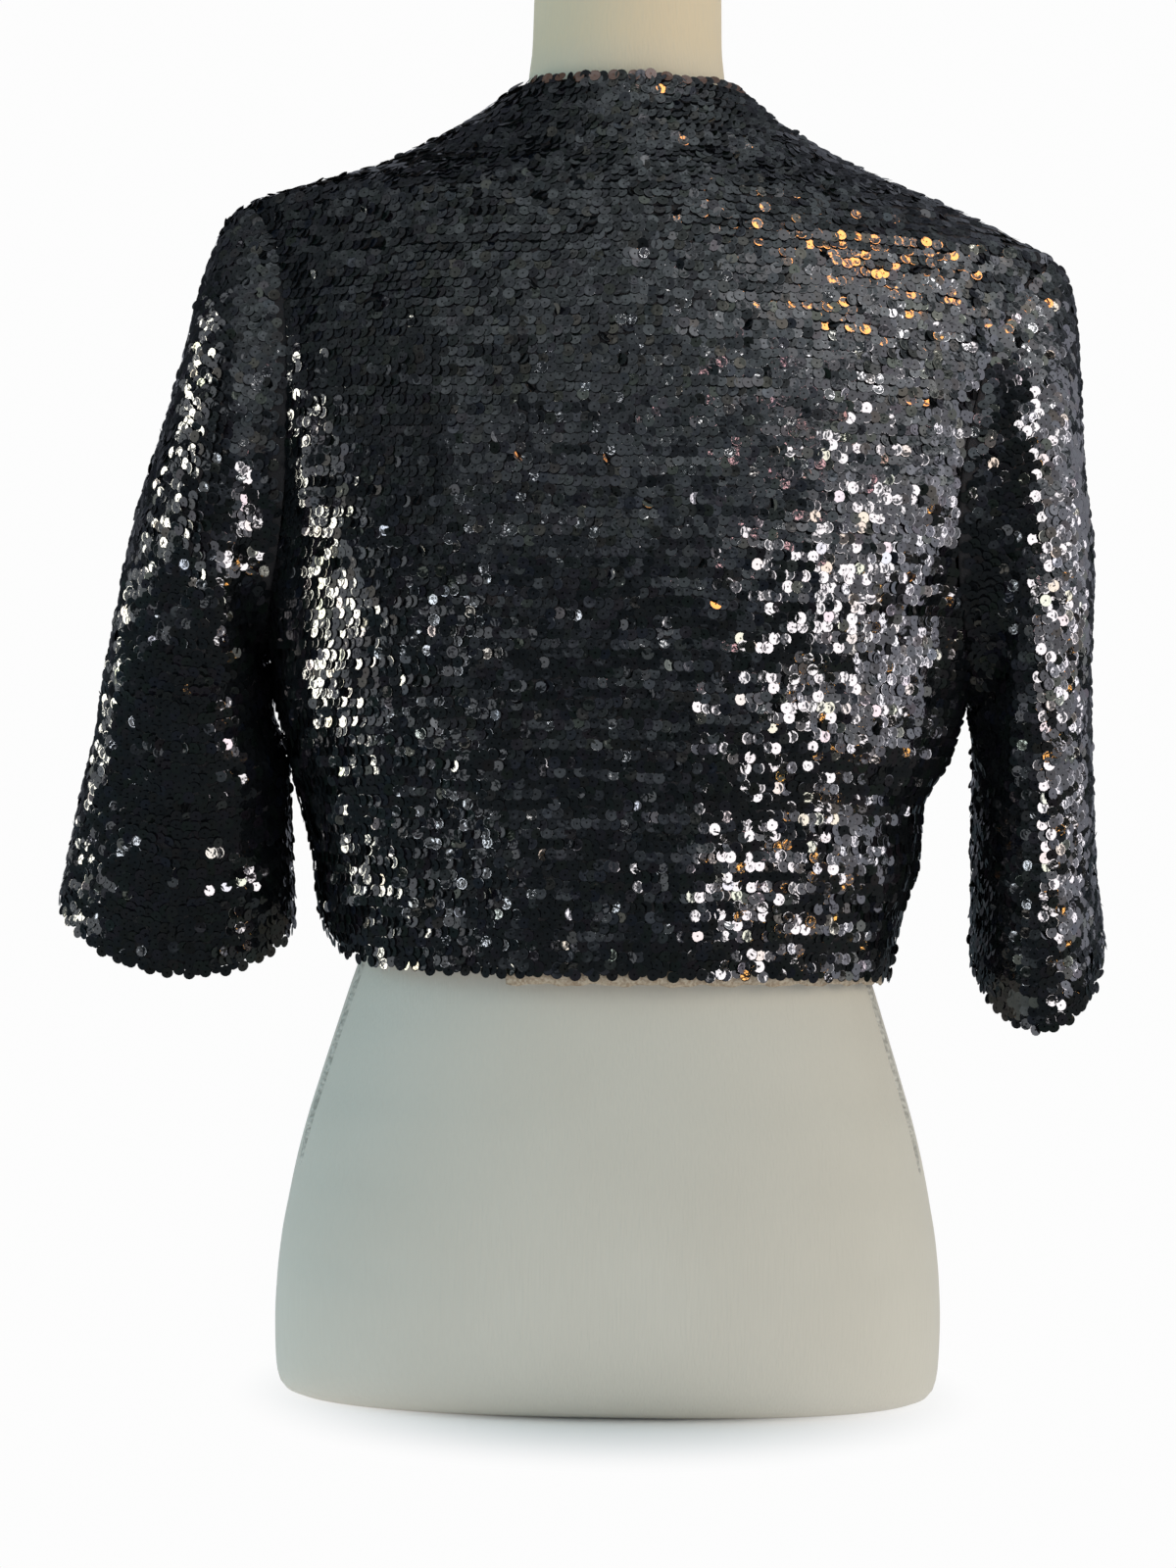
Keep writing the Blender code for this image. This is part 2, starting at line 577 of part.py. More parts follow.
def main():
    for obj in list(bpy.data.objects):
        bpy.data.objects.remove(obj)
    collection = bpy.data.collections.new("bolero_jacket_on_form")
    bpy.context.scene.collection.children.link(collection)
    cloth = material("black_sequin_cloth", SEQUIN_BLACK, SEQUIN_ROUGHNESS, SEQUIN_METALLIC)
    cream = material("cream_jersey", FORM_CREAM, FORM_ROUGHNESS, 0.0)
    add_back(cloth, collection)
    for side in SIDES:
        add_front(side, cloth, collection)
        add_sleeve(side, cloth, collection)
    add_form(cream, collection)


main()
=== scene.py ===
"""Looks of a sequinned bolero jacket on a limbless dress form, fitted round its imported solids.

Metres, +Z up, the garment's front towards -Y and the wearer's left towards +X.
The camera looks at the back, as the photograph does.
"""

import math

import bpy
import numpy as np
from mathutils import Matrix, Vector


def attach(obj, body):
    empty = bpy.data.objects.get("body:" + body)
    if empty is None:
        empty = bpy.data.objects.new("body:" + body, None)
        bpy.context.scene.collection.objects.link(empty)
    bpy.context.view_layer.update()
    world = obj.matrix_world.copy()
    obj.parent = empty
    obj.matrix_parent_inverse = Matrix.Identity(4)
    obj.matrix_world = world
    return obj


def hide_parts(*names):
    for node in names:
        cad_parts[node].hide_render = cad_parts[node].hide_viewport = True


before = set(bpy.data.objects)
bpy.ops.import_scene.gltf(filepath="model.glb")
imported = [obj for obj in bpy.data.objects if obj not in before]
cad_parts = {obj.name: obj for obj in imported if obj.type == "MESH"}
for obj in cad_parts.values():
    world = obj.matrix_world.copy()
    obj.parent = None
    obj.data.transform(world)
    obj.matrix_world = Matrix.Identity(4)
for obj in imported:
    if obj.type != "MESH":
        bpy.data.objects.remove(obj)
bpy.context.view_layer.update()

# Camera, level and behind the jacket, with the photograph's slight roll in degrees
CAMERA_AT = (0.0145, 1.62, 0.3165)
CAMERA_LENS = 71.1
CAMERA_ROLL = 0.9

# The ground cloth lies just inside the solids' faces, so that its sequins end at them
CLOTH_DEPTH = 0.0012
CLOTH_WALL = 0.0008
SEAM_GAP = 0.0006
TOUCH_GAP = 0.003

# How finely cloth and form are divided
BACK_COLUMNS = 96
SIDE_ROWS = 30
ARMHOLE_ROWS = 44
SHOULDER_STEPS = 34
CAP_ROWS = 34
SLEEVE_ROWS = 50
FORM_COLUMNS = 160
FORM_ROWS = 170

# Small steps for slopes, in radians, metres and rings, and the halvings that find an edge
STEP_TURN = 0.01
STEP_HEIGHT = 0.0008
STEP_SLEEVE = 0.02
STEP_SEAM = 0.03
HALVINGS = 40

# Horizontal sections of the outside of the jacket's body, from below the hem to the neck
BODY_FIELDS = ("height", "left", "right", "back", "front", "back_square", "front_square")
BODY_SECTIONS = (
    (0.18, 0.144, 0.142, 0.089, 0.109, 2.15, 2.3),
    (0.222, 0.147, 0.1452, 0.093, 0.113, 2.15, 2.3),
    (0.253, 0.1547, 0.1512, 0.0965, 0.117, 2.2, 2.4),
    (0.279, 0.158, 0.1592, 0.099, 0.12, 2.2, 2.4),
    (0.304, 0.165, 0.1602, 0.1015, 0.123, 2.2, 2.5),
    (0.332, 0.1715, 0.1735, 0.1045, 0.1265, 2.25, 2.6),
    (0.362, 0.1785, 0.1815, 0.107, 0.13, 2.25, 2.6),
    (0.4, 0.185, 0.189, 0.1095, 0.1325, 2.3, 2.6),
    (0.44, 0.19, 0.1965, 0.111, 0.1315, 2.3, 2.6),
    (0.49, 0.195, 0.206, 0.1095, 0.1215, 2.25, 2.5),
    (0.53, 0.1985, 0.215, 0.1055, 0.107, 2.05, 2.3),
    (0.565, 0.2005, 0.2225, 0.0995, 0.0905, 1.8, 2),
    (0.592, 0.2015, 0.2255, 0.0925, 0.077, 1.6, 1.8),
    (0.604, 0.201, 0.208, 0.088, 0.07, 1.53, 1.7),
    (0.616, 0.199, 0.183, 0.0825, 0.063, 1.5, 1.62),
    (0.627, 0.17, 0.158, 0.0765, 0.0572, 1.5, 1.6),
    (0.638, 0.132, 0.13, 0.0705, 0.0525, 1.55, 1.6),
    (0.65, 0.1065, 0.1045, 0.0645, 0.049, 1.62, 1.65),
    (0.662, 0.0838, 0.0828, 0.0592, 0.0465, 1.72, 1.75),
    (0.672, 0.069, 0.0688, 0.0556, 0.045, 1.85, 1.85),
    (0.683, 0.0545, 0.0545, 0.053, 0.044, 2, 2),
)

# Edges of the body, for the wearer's left and right
HEM_CENTRE_BACK = 0.2245
HEM_SIDE = {"left": 0.25, "right": 0.2205}
HEM_RISE_POWER = {"left": 4.5, "right": 3.0}
NECK_CENTRE_BACK = 0.6745
NECK_POINT = 0.679
NECK_RISE_POWER = 2.0
ARMHOLE_BOTTOM = {"left": 0.382, "right": 0.364}
ARMHOLE_TOP = {"left": 0.616, "right": 0.593}
ARMHOLE_TURN_BACK = {"left": 33.0, "right": 36.0}
ARMHOLE_TURN_FRONT = {"left": 38.0, "right": 40.0}

# The open front, with rounded lower corners
FRONT_EDGE = 0.033
FRONT_NECK_HEIGHT = 0.572
FRONT_NECK_HALF_WIDTH = 0.061
FRONT_CORNER_HEIGHT = {"left": 0.325, "right": 0.306}
FRONT_CORNER_START = 0.3
FRONT_CORNER_POWER = 2.6
FRONT_CORNER_STEEPEST = 0.985

# Rings of each sleeve below its cap, from the armhole down to the cuff
RING_FIELDS = ("out", "height", "forward", "half_width", "half_depth", "lean", "pitch")
LEFT_RINGS = (
    (0.2142, 0.4285, 0, 0.0619, 0.068, 61, 3),
    (0.2211, 0.3755, 0.003, 0.0497, 0.062, 34.7, 7),
    (0.2222, 0.3345, 0.007, 0.0519, 0.0545, 16.7, 10),
    (0.2266, 0.292, 0.013, 0.0572, 0.047, 8, 13),
    (0.2305, 0.2485, 0.02, 0.0625, 0.04, 6, 16),
)
RIGHT_RINGS = (
    (0.215, 0.411, 0, 0.061, 0.069, 62, 3),
    (0.2158, 0.37, 0.003, 0.0388, 0.068, 38.9, 7),
    (0.2181, 0.326, 0.007, 0.0345, 0.067, 30, 10),
    (0.2203, 0.282, 0.013, 0.0333, 0.066, 20, 13),
    (0.2243, 0.236, 0.02, 0.0358, 0.065, 16, 16),
)
SLEEVE_RINGS = {"left": LEFT_RINGS, "right": RIGHT_RINGS}
CUFF = 5.0
CUFF_DIP = 0.02
CUFF_DIP_START = 2.0
CUFF_DIP_ROUNDNESS = 1.5
CAP_REACH_TOP = 0.021
CAP_REACH_SIDE = 0.034
CAP_REACH_BOTTOM = 0.008
CAP_SLOPE_TOP = {"left": 18.0, "right": 28.0}
CAP_SLOPE_BOTTOM = 50.0
CAP_LANDING = 0.42
CAP_CROWDING = 1.15
TOUCH_START = 0.004
TOUCH_FADE = 0.01
TOUCH_EASE = 0.25

# Sections of the dress form, base to neck
FORM_FIELDS = ("height", "half_width", "back", "front", "centre", "square")
FORM_SECTIONS = (
    (0, 0.1625, 0.074, 0.074, 0, 2.4),
    (0.003, 0.1685, 0.083, 0.083, 0, 2.4),
    (0.01, 0.1714, 0.0915, 0.09, 0, 2.4),
    (0.02, 0.1725, 0.097, 0.0935, 0, 2.4),
    (0.04, 0.173, 0.1015, 0.0955, 0, 2.4),
    (0.06, 0.1722, 0.1032, 0.096, 0, 2.4),
    (0.081, 0.1702, 0.1032, 0.096, 0, 2.35),
    (0.101, 0.1668, 0.102, 0.096, 0, 2.35),
    (0.122, 0.1627, 0.0995, 0.0958, 0, 2.3),
    (0.142, 0.1577, 0.096, 0.0955, 0, 2.3),
    (0.163, 0.1515, 0.0915, 0.095, 0, 2.25),
    (0.184, 0.145, 0.0865, 0.0935, 0, 2.25),
    (0.207, 0.1378, 0.081, 0.092, 0, 2.2),
    (0.232, 0.13, 0.0755, 0.089, 0, 2.2),
    (0.262, 0.1245, 0.0725, 0.0875, 0, 2.2),
    (0.3, 0.1275, 0.076, 0.09, 0, 2.2),
    (0.345, 0.138, 0.086, 0.096, 0, 2.2),
    (0.4, 0.148, 0.0965, 0.101, 0, 2.2),
    (0.44, 0.153, 0.102, 0.1, 0, 2.2),
    (0.49, 0.16, 0.1025, 0.093, 0, 2.2),
    (0.54, 0.17, 0.096, 0.081, 0, 2.1),
    (0.57, 0.177, 0.089, 0.072, 0, 1.95),
    (0.588, 0.178, 0.084, 0.066, 0, 1.8),
    (0.6, 0.173, 0.0795, 0.061, 0, 1.65),
    (0.612, 0.163, 0.0745, 0.056, 0, 1.55),
    (0.625, 0.143, 0.069, 0.0515, 0, 1.52),
    (0.638, 0.1155, 0.063, 0.0475, 0, 1.55),
    (0.65, 0.0925, 0.0575, 0.044, 0, 1.62),
    (0.662, 0.074, 0.053, 0.0415, 0, 1.72),
    (0.671, 0.0598, 0.0502, 0.0405, 0, 1.85),
    (0.68, 0.052, 0.0488, 0.0415, -0.002, 2),
    (0.69, 0.0508, 0.0485, 0.043, -0.004, 2),
    (0.701, 0.0497, 0.049, 0.0445, -0.006, 2),
    (0.728, 0.0492, 0.05, 0.047, -0.01, 2),
    (0.745, 0.0488, 0.0495, 0.047, -0.012, 2),
    (0.752, 0.0465, 0.047, 0.0445, -0.013, 2),
    (0.755, 0.0425, 0.043, 0.0405, -0.013, 2),
)
BUST_HEIGHT = 0.418
BUST_APART = 0.079
BUST_RISE = 0.0285
BUST_SPREAD_ACROSS = 0.046
BUST_SPREAD_UP = 0.058
BUST_BELOW = 0.8
BUST_ABOVE = 1.15
BUST_FRONT = 3.0

# Soft creases of the body's cloth: the turn and height of a crease's middle, its lean from upright,
# half length and width, and how far its bottom lies in, or how far a ridge stands out if negative
BODY_CREASES = (
    (4, 0.3, 4, 0.09, 0.034, 0.003),
    (-28, 0.27, -6, 0.06, 0.02, 0.0018),
    (30, 0.285, 8, 0.07, 0.02, 0.002),
    (-14, 0.262, -3, 0.05, 0.016, -0.0014),
    (18, 0.262, 3, 0.05, 0.016, -0.0014),
    (54, 0.43, 38, 0.05, 0.014, 0.0022),
    (48, 0.395, 58, 0.045, 0.013, 0.0018),
    (-56, 0.42, -40, 0.052, 0.014, 0.0024),
    (-47, 0.385, -60, 0.045, 0.013, 0.0018),
    (-40, 0.52, -14, 0.05, 0.013, 0.0014),
    (38, 0.535, 12, 0.05, 0.013, 0.0012),
    (76, 0.3, 2, 0.05, 0.015, 0.002),
    (90, 0.354, 0, 0.032, 0.022, -0.001),
    (-76, 0.29, -4, 0.05, 0.015, 0.002),
    (104, 0.31, 4, 0.05, 0.016, 0.002),
    (-106, 0.3, -4, 0.055, 0.016, 0.0022),
    (124, 0.47, 44, 0.05, 0.014, 0.002),
    (-124, 0.46, -42, 0.05, 0.014, 0.002),
    (150, 0.52, 18, 0.055, 0.014, 0.0014),
    (-150, 0.515, -20, 0.055, 0.014, 0.0014),
)
CREASE_RADIUS = 0.15

# Soft creases of the sleeves, as on the body, but the first angle is 0 at the shoulder, 90 at the back
LEFT_CREASES = (
    (100, 0.44, 30, 0.055, 0.012, 0.0022),
    (70, 0.4, 52, 0.05, 0.011, 0.002),
    (110, 0.35, 62, 0.045, 0.011, 0.0022),
    (60, 0.32, 20, 0.06, 0.016, 0.0026),
    (120, 0.29, 8, 0.05, 0.013, 0.0018),
    (20, 0.52, 8, 0.045, 0.014, 0.0012),
    (200, 0.36, 50, 0.04, 0.011, 0.0022),
    (180, 0.354, 0, 0.036, 0.024, -0.0031),
    (265, 0.41, -40, 0.055, 0.012, 0.0022),
    (290, 0.35, -58, 0.05, 0.012, 0.0022),
    (250, 0.3, -20, 0.05, 0.014, 0.0022),
)
RIGHT_CREASES = (
    (95, 0.43, 34, 0.055, 0.012, 0.0022),
    (75, 0.385, 56, 0.05, 0.011, 0.002),
    (110, 0.34, 60, 0.045, 0.011, 0.0022),
    (65, 0.3, 14, 0.06, 0.014, 0.0022),
    (125, 0.28, 6, 0.05, 0.012, 0.0018),
    (25, 0.5, 10, 0.045, 0.014, 0.0012),
    (205, 0.35, 48, 0.04, 0.011, 0.002),
    (262, 0.4, -42, 0.055, 0.012, 0.0022),
    (292, 0.34, -55, 0.05, 0.012, 0.0022),
    (245, 0.29, -16, 0.05, 0.014, 0.002),
)
SLEEVE_CREASES = {"left": LEFT_CREASES, "right": RIGHT_CREASES}
SLEEVE_CREASE_RADIUS = 0.06

# Sequins: cupped round discs in level rows, each leaning over its neighbour. Lean and nod are an
# angle and its spread in degrees. Where the cloth faces up the sequins are pressed down to it.
SEQUIN_RADIUS = 0.0031
SEQUIN_SIDES = 12
SEQUIN_CUP = 2.2
SEQUIN_CUP_SPREAD = 1.5
SEQUIN_STEP = 0.0044
SEQUIN_ROW = 0.005
SEQUIN_LIFT = 0.0007
SHOULDER_PRESS = 0.8
SHOULDER_PRESS_FROM = 0.5
SHOULDER_PRESS_OVER = 0.4
SEQUIN_LEAN = (4.0, 8.0)
SEQUIN_NOD = (4.0, 6.5)
SEQUIN_LEAN_LIMITS = (-40, 50)
SEQUIN_NOD_LIMITS = (-35, 35)
SEQUIN_STRAY_SHARE = 0.03
SEQUIN_STRAY_SPREAD = 26.0
SEQUIN_JITTER = 0.0005
ROW_WANDER = 0.0011
ROW_WAVES = ((58, 31, 0.0, 1.0), (-83, 97, 1.3, 0.6))
ROW_WAVES_SUM = 1.6
EDGE_STEP = 0.0047
EDGE_OUT = 0.0022
EDGE_IN = 0.0004
NECK_EDGE_OUT = 0.001
TURNED_AT = (-0.2086, 0.208)
TURNED_REACH = 0.0065
TURNED_BEHIND = -0.02
ROW_METER_TURN = 25.0
ROW_METER_STEPS = 400
ROW_METER_FROM = HEM_CENTRE_BACK - 0.02
ROW_METER_TO = NECK_POINT + 0.002

# How many neighbours share part of their lean, how much of it, and each row's own nod
RUN = 3
RUN_SHARE = 0.75
ROW_NOD_SPREAD = 2.4

# Parts of the cloth behind HANG_BEHIND where the sequins are turned towards a direction, to at most
# HANG_MOST degrees from the cloth: x, height, half width and half height of the part, degrees to
# the picture's right and up, the share of the turn, and how much more alike they lie there
HANG_BEHIND = 0.0
HANG_MOST = 24.0
HANG_LEAST = 0.001
HANGS = (
    (0.02, 0.49, 0.15, 0.12, 0, 0, 0, 0.4),
    (0.229, 0.32, 0.036, 0.1, 0, -40, 0.46, 0),
    (0.21, 0.49, 0.013, 0.08, -50, -14, 0.7, 0.3),
    (0.17, 0.488, 0.014, 0.035, -40, 2, 0.6, 0.3),
    (0.159, 0.436, 0.016, 0.035, -40, 2, 0.6, 0.3),
    (0.146, 0.385, 0.02, 0.035, -40, 2, 0.6, 0.3),
    (-0.2213, 0.38, 0.0185, 0.165, 25.5, -1, 0.78, 0.1),
    (-0.176, 0.385, 0.016, 0.062, 0, -40, 0.75, 0),
    (-0.197, 0.487, 0.012, 0.05, 0, -40, 0.46, 0),
    (-0.048, 0.666, 0.03, 0.026, -8, 36, 0.62, 0.3),
)

# The binding tape that shows below the back's hem, as shares of the hem from the wearer's right
TAPE_FROM = 0.04
TAPE_TO = 0.62
TAPE_COLUMNS = 90
TAPE_UP = 0.002
TAPE_DOWN = (0.0066, 0.0084)
TAPE_WAVE = 0.0006
TAPE_RIPPLES = ((1.1, 0.0, 1.0), (2.7, 1.0, 0.6))
TAPE_BEHIND = 0.0018

# The form's overlocked side seams, which fade out towards its base
SEAM_TURN = 74.0
SEAM_TOP = 0.236
SEAM_BOTTOM = 0.104
SEAM_ROWS = 70
SEAM_FADE = 0.03
SEAM_SINK = 0.001
SEAM_PROFILE = ((-0.0052, -0.0004), (-0.004, 0.0008), (0.0, 0.0011), (0.004, 0.0008), (0.0052, -0.0004))

# The cloth pieces: the flat cut's widest, longest and area, whether the grid's faces are turned
# round to face out, and the sequins' seed
CLOTHS = {
    "back": (0.47, 0.47, 0.184, True, 11),
    "left_front": (0.2, 0.44, 0.07, True, 21),
    "right_front": (0.2, 0.44, 0.077, False, 22),
    "left_sleeve": (0.36, 0.38, 0.095, False, 31),
    "right_sleeve": (0.36, 0.38, 0.09, True, 32),
}

# Lights: name, degrees from the camera towards the picture's right and up, distance, width and
# height, how bright the light looks, its colour, and 0 where it only shows as a reflection
LIGHTS = (
    ("right_window", 35, 1, 1.8, 0.36, 0.9, 25, (1, 0.95, 0.96), 0),
    ("right_side_window", 66, 2, 1.8, 0.09, 0.8, 26, (1, 0.96, 1), 0),
    ("right_wall", 44, 8, 1.9, 1.3, 1.3, 1.7, (1, 0.98, 1.06), 0),
    ("right_side_wall", 76, 8, 1.9, 1.2, 1.2, 2.4, (0.96, 0.98, 1.12), 0),
    ("right_high_wall", 48, 46, 1.9, 1.3, 1, 1.8, (1, 0.98, 1.02), 0),
    ("left_window", -88, 4, 1.8, 0.23, 0.8, 28, (1, 0.98, 0.84), 0),
    ("left_wall", -84, 2, 1.9, 1.2, 1.1, 1.5, (0.94, 1, 1.06), 0),
    ("left_low", -40, -10, 1.9, 0.7, 0.6, 1.8, (0.9, 0.95, 1), 0),
    ("left_spots", -44, -8, 1.9, 0.08, 0.2, 30, (0.84, 0.92, 1), 0),
    ("right_lamp", 58, 55, 1.8, 0.28, 0.24, 42, (1, 0.36, 0.05), 0),
    ("right_high", 50, 38, 1.9, 0.12, 0.12, 44, (1, 0.98, 1), 0),
    ("specks_high", 8, 30, 2, 0.06, 0.06, 50, (1, 1, 1), 0),
    ("specks_left", -22, 18, 2, 0.05, 0.05, 50, (0.9, 0.95, 1), 0),
    ("specks_green", 28, -24, 1.5, 0.09, 0.09, 40, (0.85, 1, 0.35), 0),
    ("specks_rose", 22, 24, 1.9, 0.09, 0.09, 26, (1, 0.58, 0.6), 0),
    ("specks_amber", 50, -12, 1.6, 0.075, 0.075, 46, (1, 0.48, 0.12), 0),
    ("cool_fill", -75, 12, 2.2, 1.3, 1.3, 1.6, (0.3, 0.82, 1), 1),
    ("warm_fill", 60, 18, 2.2, 1.3, 1.3, 3, (1, 0.87, 0.68), 1),
    ("front_fill", 180, 35, 2.4, 1.6, 1.2, 1.4, (1, 0.98, 0.96), 1),
)
LIGHT_AIM = (0.0, 0.0, 0.36)

# The room round the scene and its floor
BACKDROP = (0.98, 0.98, 0.98)
ROOM = (0.25, 0.33, 0.39)
ROOM_BY_DEPTH = ((0, (0.18, 0.19, 0.22)), (0.55, (0.08, 0.09, 0.11)), (1, (0.26, 0.3, 0.35)))
ROOM_ABOVE = (0.9, 1.02, 1.08)
ROOM_ABOVE_HEIGHTS = (0.15, 0.8)
ROOM_ABOVE_DEPTHS = (-0.3, 0.5)
ROOM_LEFT_TO_RIGHT = (0.4, 1.9)
ROOM_PATCH_SCALE = 4.0
ROOM_PATCH_RANGE = (0.42, 0.62)
ROOM_PATCHES = (0.6, 1.9)
FLOOR_HALF = 40.0
FLOOR_WHITE = (0.93, 0.93, 0.93)
FLOOR_FADE = (0.07, 0.2)
FLOOR_ROUGHNESS = 0.9
FLOOR_IN_GLOSS = (0.25, 0.25, 0.25)

# The sequins' finish, with colours and glints by tint
SEQUIN_BLACKS = (
    (0, (0.0034, 0.0042, 0.005)),
    (0.55, (0.0064, 0.0072, 0.0082)),
    (0.7, (0.005, 0.0078, 0.0064)),
    (0.85, (0.0086, 0.0066, 0.0088)),
    (1, (0.006, 0.0078, 0.012)),
)
SEQUIN_GLINTS = (
    (0, (1, 1, 1)),
    (0.76, (1, 0.97, 0.98)),
    (0.82, (1, 0.86, 0.72)),
    (0.88, (0.93, 1, 0.82)),
    (0.94, (1, 0.87, 0.91)),
    (1, (0.88, 0.93, 1)),
)
GLINT_SHUFFLE = 37.0
HOLE_RADIUS = 0.17
HOLE_COLOUR = (0.001, 0.001, 0.001)
TURNED_COLOUR = (0.06, 0.064, 0.06)
AMBER_COLOUR = (0.13, 0.062, 0.04)
WEAR_SCALE = 900.0
WEAR_ROUGHNESS = (0.07, 0.05)
TURNED_ROUGHNESS = 0.25
SEQUIN_SHINE = (-0.4, 0.5)
DENT_SCALE = 380.0
DENT_SHARE = 0.5
RIM_POWER = 9.0
RIM_SHARE = -0.25
DENT_DEPTH = 0.0002

# The form's jersey, with fine upright wales and a beige neck
WALE_STRETCH = (1.0, 1.0, 0.06)
WALE_SCALE = 900.0
JERSEY_PATCHES = 9.0
JERSEY_CREAMS = ((0.3, (0.6, 0.566, 0.488)), (0.7, (0.64, 0.61, 0.532)))
WALE_COLOUR = (0.52, 0.5, 0.44)
WALE_SHARE = 0.25
JERSEY_BUMP = (0.0004, 0.5)
JERSEY_FINISH = {"Roughness": 0.86, "Specular IOR Level": 0.25, "Sheen Weight": 0.15}
NECK_BEIGE = (0.71, 0.58, 0.39)
NECK_BEIGE_HEIGHTS = (0.64, 0.7)

# Plain fibres: stretch, fineness and detail of their noise, its colours, roughness, gloss and bump
GROUND_BLACKS = ((0.3, (0.005, 0.005, 0.006)), (0.7, (0.012, 0.012, 0.014)))
TAPE_BROWNS = ((0.35, (0.27, 0.2, 0.13)), (0.65, (0.46, 0.39, 0.29)))
OVERLOCK_GREYS = ((0.35, (0.33, 0.32, 0.28)), (0.65, (0.58, 0.56, 0.5)))
FIBRES = {
    "black_ground_cloth": (None, 1400, 2, GROUND_BLACKS, 0.85, 0.25, 0.0004),
    "brown_tape": (None, 700, 2, TAPE_BROWNS, 0.7, 0.5, 0.0004),
    "overlocked_seam": ((0.5, 0.5, 1.0), 520, 1, OVERLOCK_GREYS, 0.85, 0.5, 0.0008),
}

# Which row or column of a piece's grid is an edge
HEM = 0
NECK = -1
SIDES = ("left", "right")
SIGN = {"left": 1.0, "right": -1.0}


def columns_of(rows, names):
    return {name: np.array([row[i] for row in rows], float) for i, name in enumerate(names)}


def smooth(places, values, at):
    """A smooth curve through a table's column that never overshoots its rows."""
    step = np.diff(places)
    slope = np.diff(values) / step
    bend = np.zeros(len(values))
    rising = slope[:-1] * slope[1:] > 0
    near = 2 * step[1:] + step[:-1]
    far = step[1:] + 2 * step[:-1]
    before, after = np.where(rising, (slope[:-1], slope[1:]), 1.0)
    bend[1:-1] = np.where(rising, (near + far) / (near / before + far / after), 0.0)
    bend[0], bend[-1] = slope[0], slope[-1]
    at = np.clip(at, places[0], places[-1])
    i = np.clip(np.searchsorted(places, at, side="right") - 1, 0, len(step) - 1)
    s = (at - places[i]) / step[i]
    return (
        values[i] * (1 + 2 * s) * (1 - s) ** 2
        + values[i + 1] * s * s * (3 - 2 * s)
        + step[i] * bend[i] * s * (1 - s) ** 2
        - step[i] * bend[i + 1] * s * s * (1 - s)
    )


BODY = columns_of(BODY_SECTIONS, BODY_FIELDS)
FORM = columns_of(FORM_SECTIONS, FORM_FIELDS)
RINGS = {side: columns_of(SLEEVE_RINGS[side], RING_FIELDS) for side in SIDES}
UP_ARMHOLE = np.linspace(math.pi, 0, ARMHOLE_ROWS + 1)


def section(table, places, at):
    """Every column of a table, by name, at places between its rows."""
    return {name: smooth(places, column, at) for name, column in table.items()}


def oval_radius(angle, width, depth, square):
    """The radius of a squared oval in a direction."""
    across, along = np.abs(np.sin(angle)) / width, np.abs(np.cos(angle)) / depth
    return (across**square + along**square) ** (-1 / square)


def about_axis(radius, angle, height):
    """Points about the upright axis, with angle 0 straight behind it."""
    return np.stack([radius * np.sin(angle), radius * np.cos(angle), height + 0 * angle], axis=-1)


def body_size(at, angle):
    """The width and depth of the body on that side of its axis."""
    width = np.where(np.sin(angle) >= 0, at["left"], at["right"])
    return width, np.where(np.cos(angle) >= 0, at["back"], at["front"])


def body_radius(angle, height):
    """How far the outside of the body is from its axis, in a direction and at a height."""
    at = section(BODY, BODY["height"], height)
    square = np.where(np.cos(angle) >= 0, at["back_square"], at["front_square"])
    return oval_radius(angle, *body_size(at, angle), square)


def body(turn, height):
    """Outside of the jacket's body. turn is 0 at centre back, a quarter turn at the wearer's left
    side and shoulder seams, minus a quarter turn at the right ones and a half turn at the front."""
    width, depth = body_size(section(BODY, BODY["height"], height), turn)
    angle = np.arctan2(width * np.sin(turn), depth * np.cos(turn))
    return about_axis(body_radius(angle, height), angle, height)


def unit(vectors):
    return vectors / np.maximum(np.linalg.norm(vectors, axis=-1, keepdims=True), 1e-12)


def normal_of(surface, u, v, du, dv):
    across = surface(u + du, v) - surface(u - du, v)
    up = surface(u, v + dv) - surface(u, v - dv)
    return unit(np.cross(up, across))


def body_normal(turn, height):
    return normal_of(body, turn, height, STEP_TURN, STEP_HEIGHT)


def armhole(side, around):
    """Turn and height of the armhole seam. around is 0 at the shoulder, a quarter turn at the
    back, a half turn at the underarm and three quarters at the front."""
    middle = (ARMHOLE_TOP[side] + ARMHOLE_BOTTOM[side]) / 2
    reach = (ARMHOLE_TOP[side] - ARMHOLE_BOTTOM[side]) / 2
    back, front = math.radians(ARMHOLE_TURN_BACK[side]), math.radians(ARMHOLE_TURN_FRONT[side])
    inset = np.where(np.sin(around) >= 0, back, front)
    turn = SIGN[side] * (math.pi / 2 - inset * np.sin(around))
    return turn, middle + reach * np.cos(around)


def ring(side, around, number):
    """A point of the sleeve on its ring of that number, which may lie between two rings."""
    places = np.arange(1.0, CUFF + 1)
    out, height, forward, width, depth, lean, pitch = section(RINGS[side], places, number).values()
    lean, pitch = np.radians(lean), np.radians(pitch)
    wide, deep = width * np.cos(around), depth * np.sin(around)
    hang = np.clip((number - CUFF_DIP_START) / (CUFF - CUFF_DIP_START), 0, 1) ** 2
    low = hang * CUFF_DIP * np.maximum(np.sin(around), 0) ** CUFF_DIP_ROUNDNESS
    x = SIGN[side] * (out + wide * np.cos(lean))
    z = height + wide * np.sin(lean) - deep * np.sin(pitch) - low
    return np.stack([x, deep * np.cos(pitch) - forward, z], axis=-1)


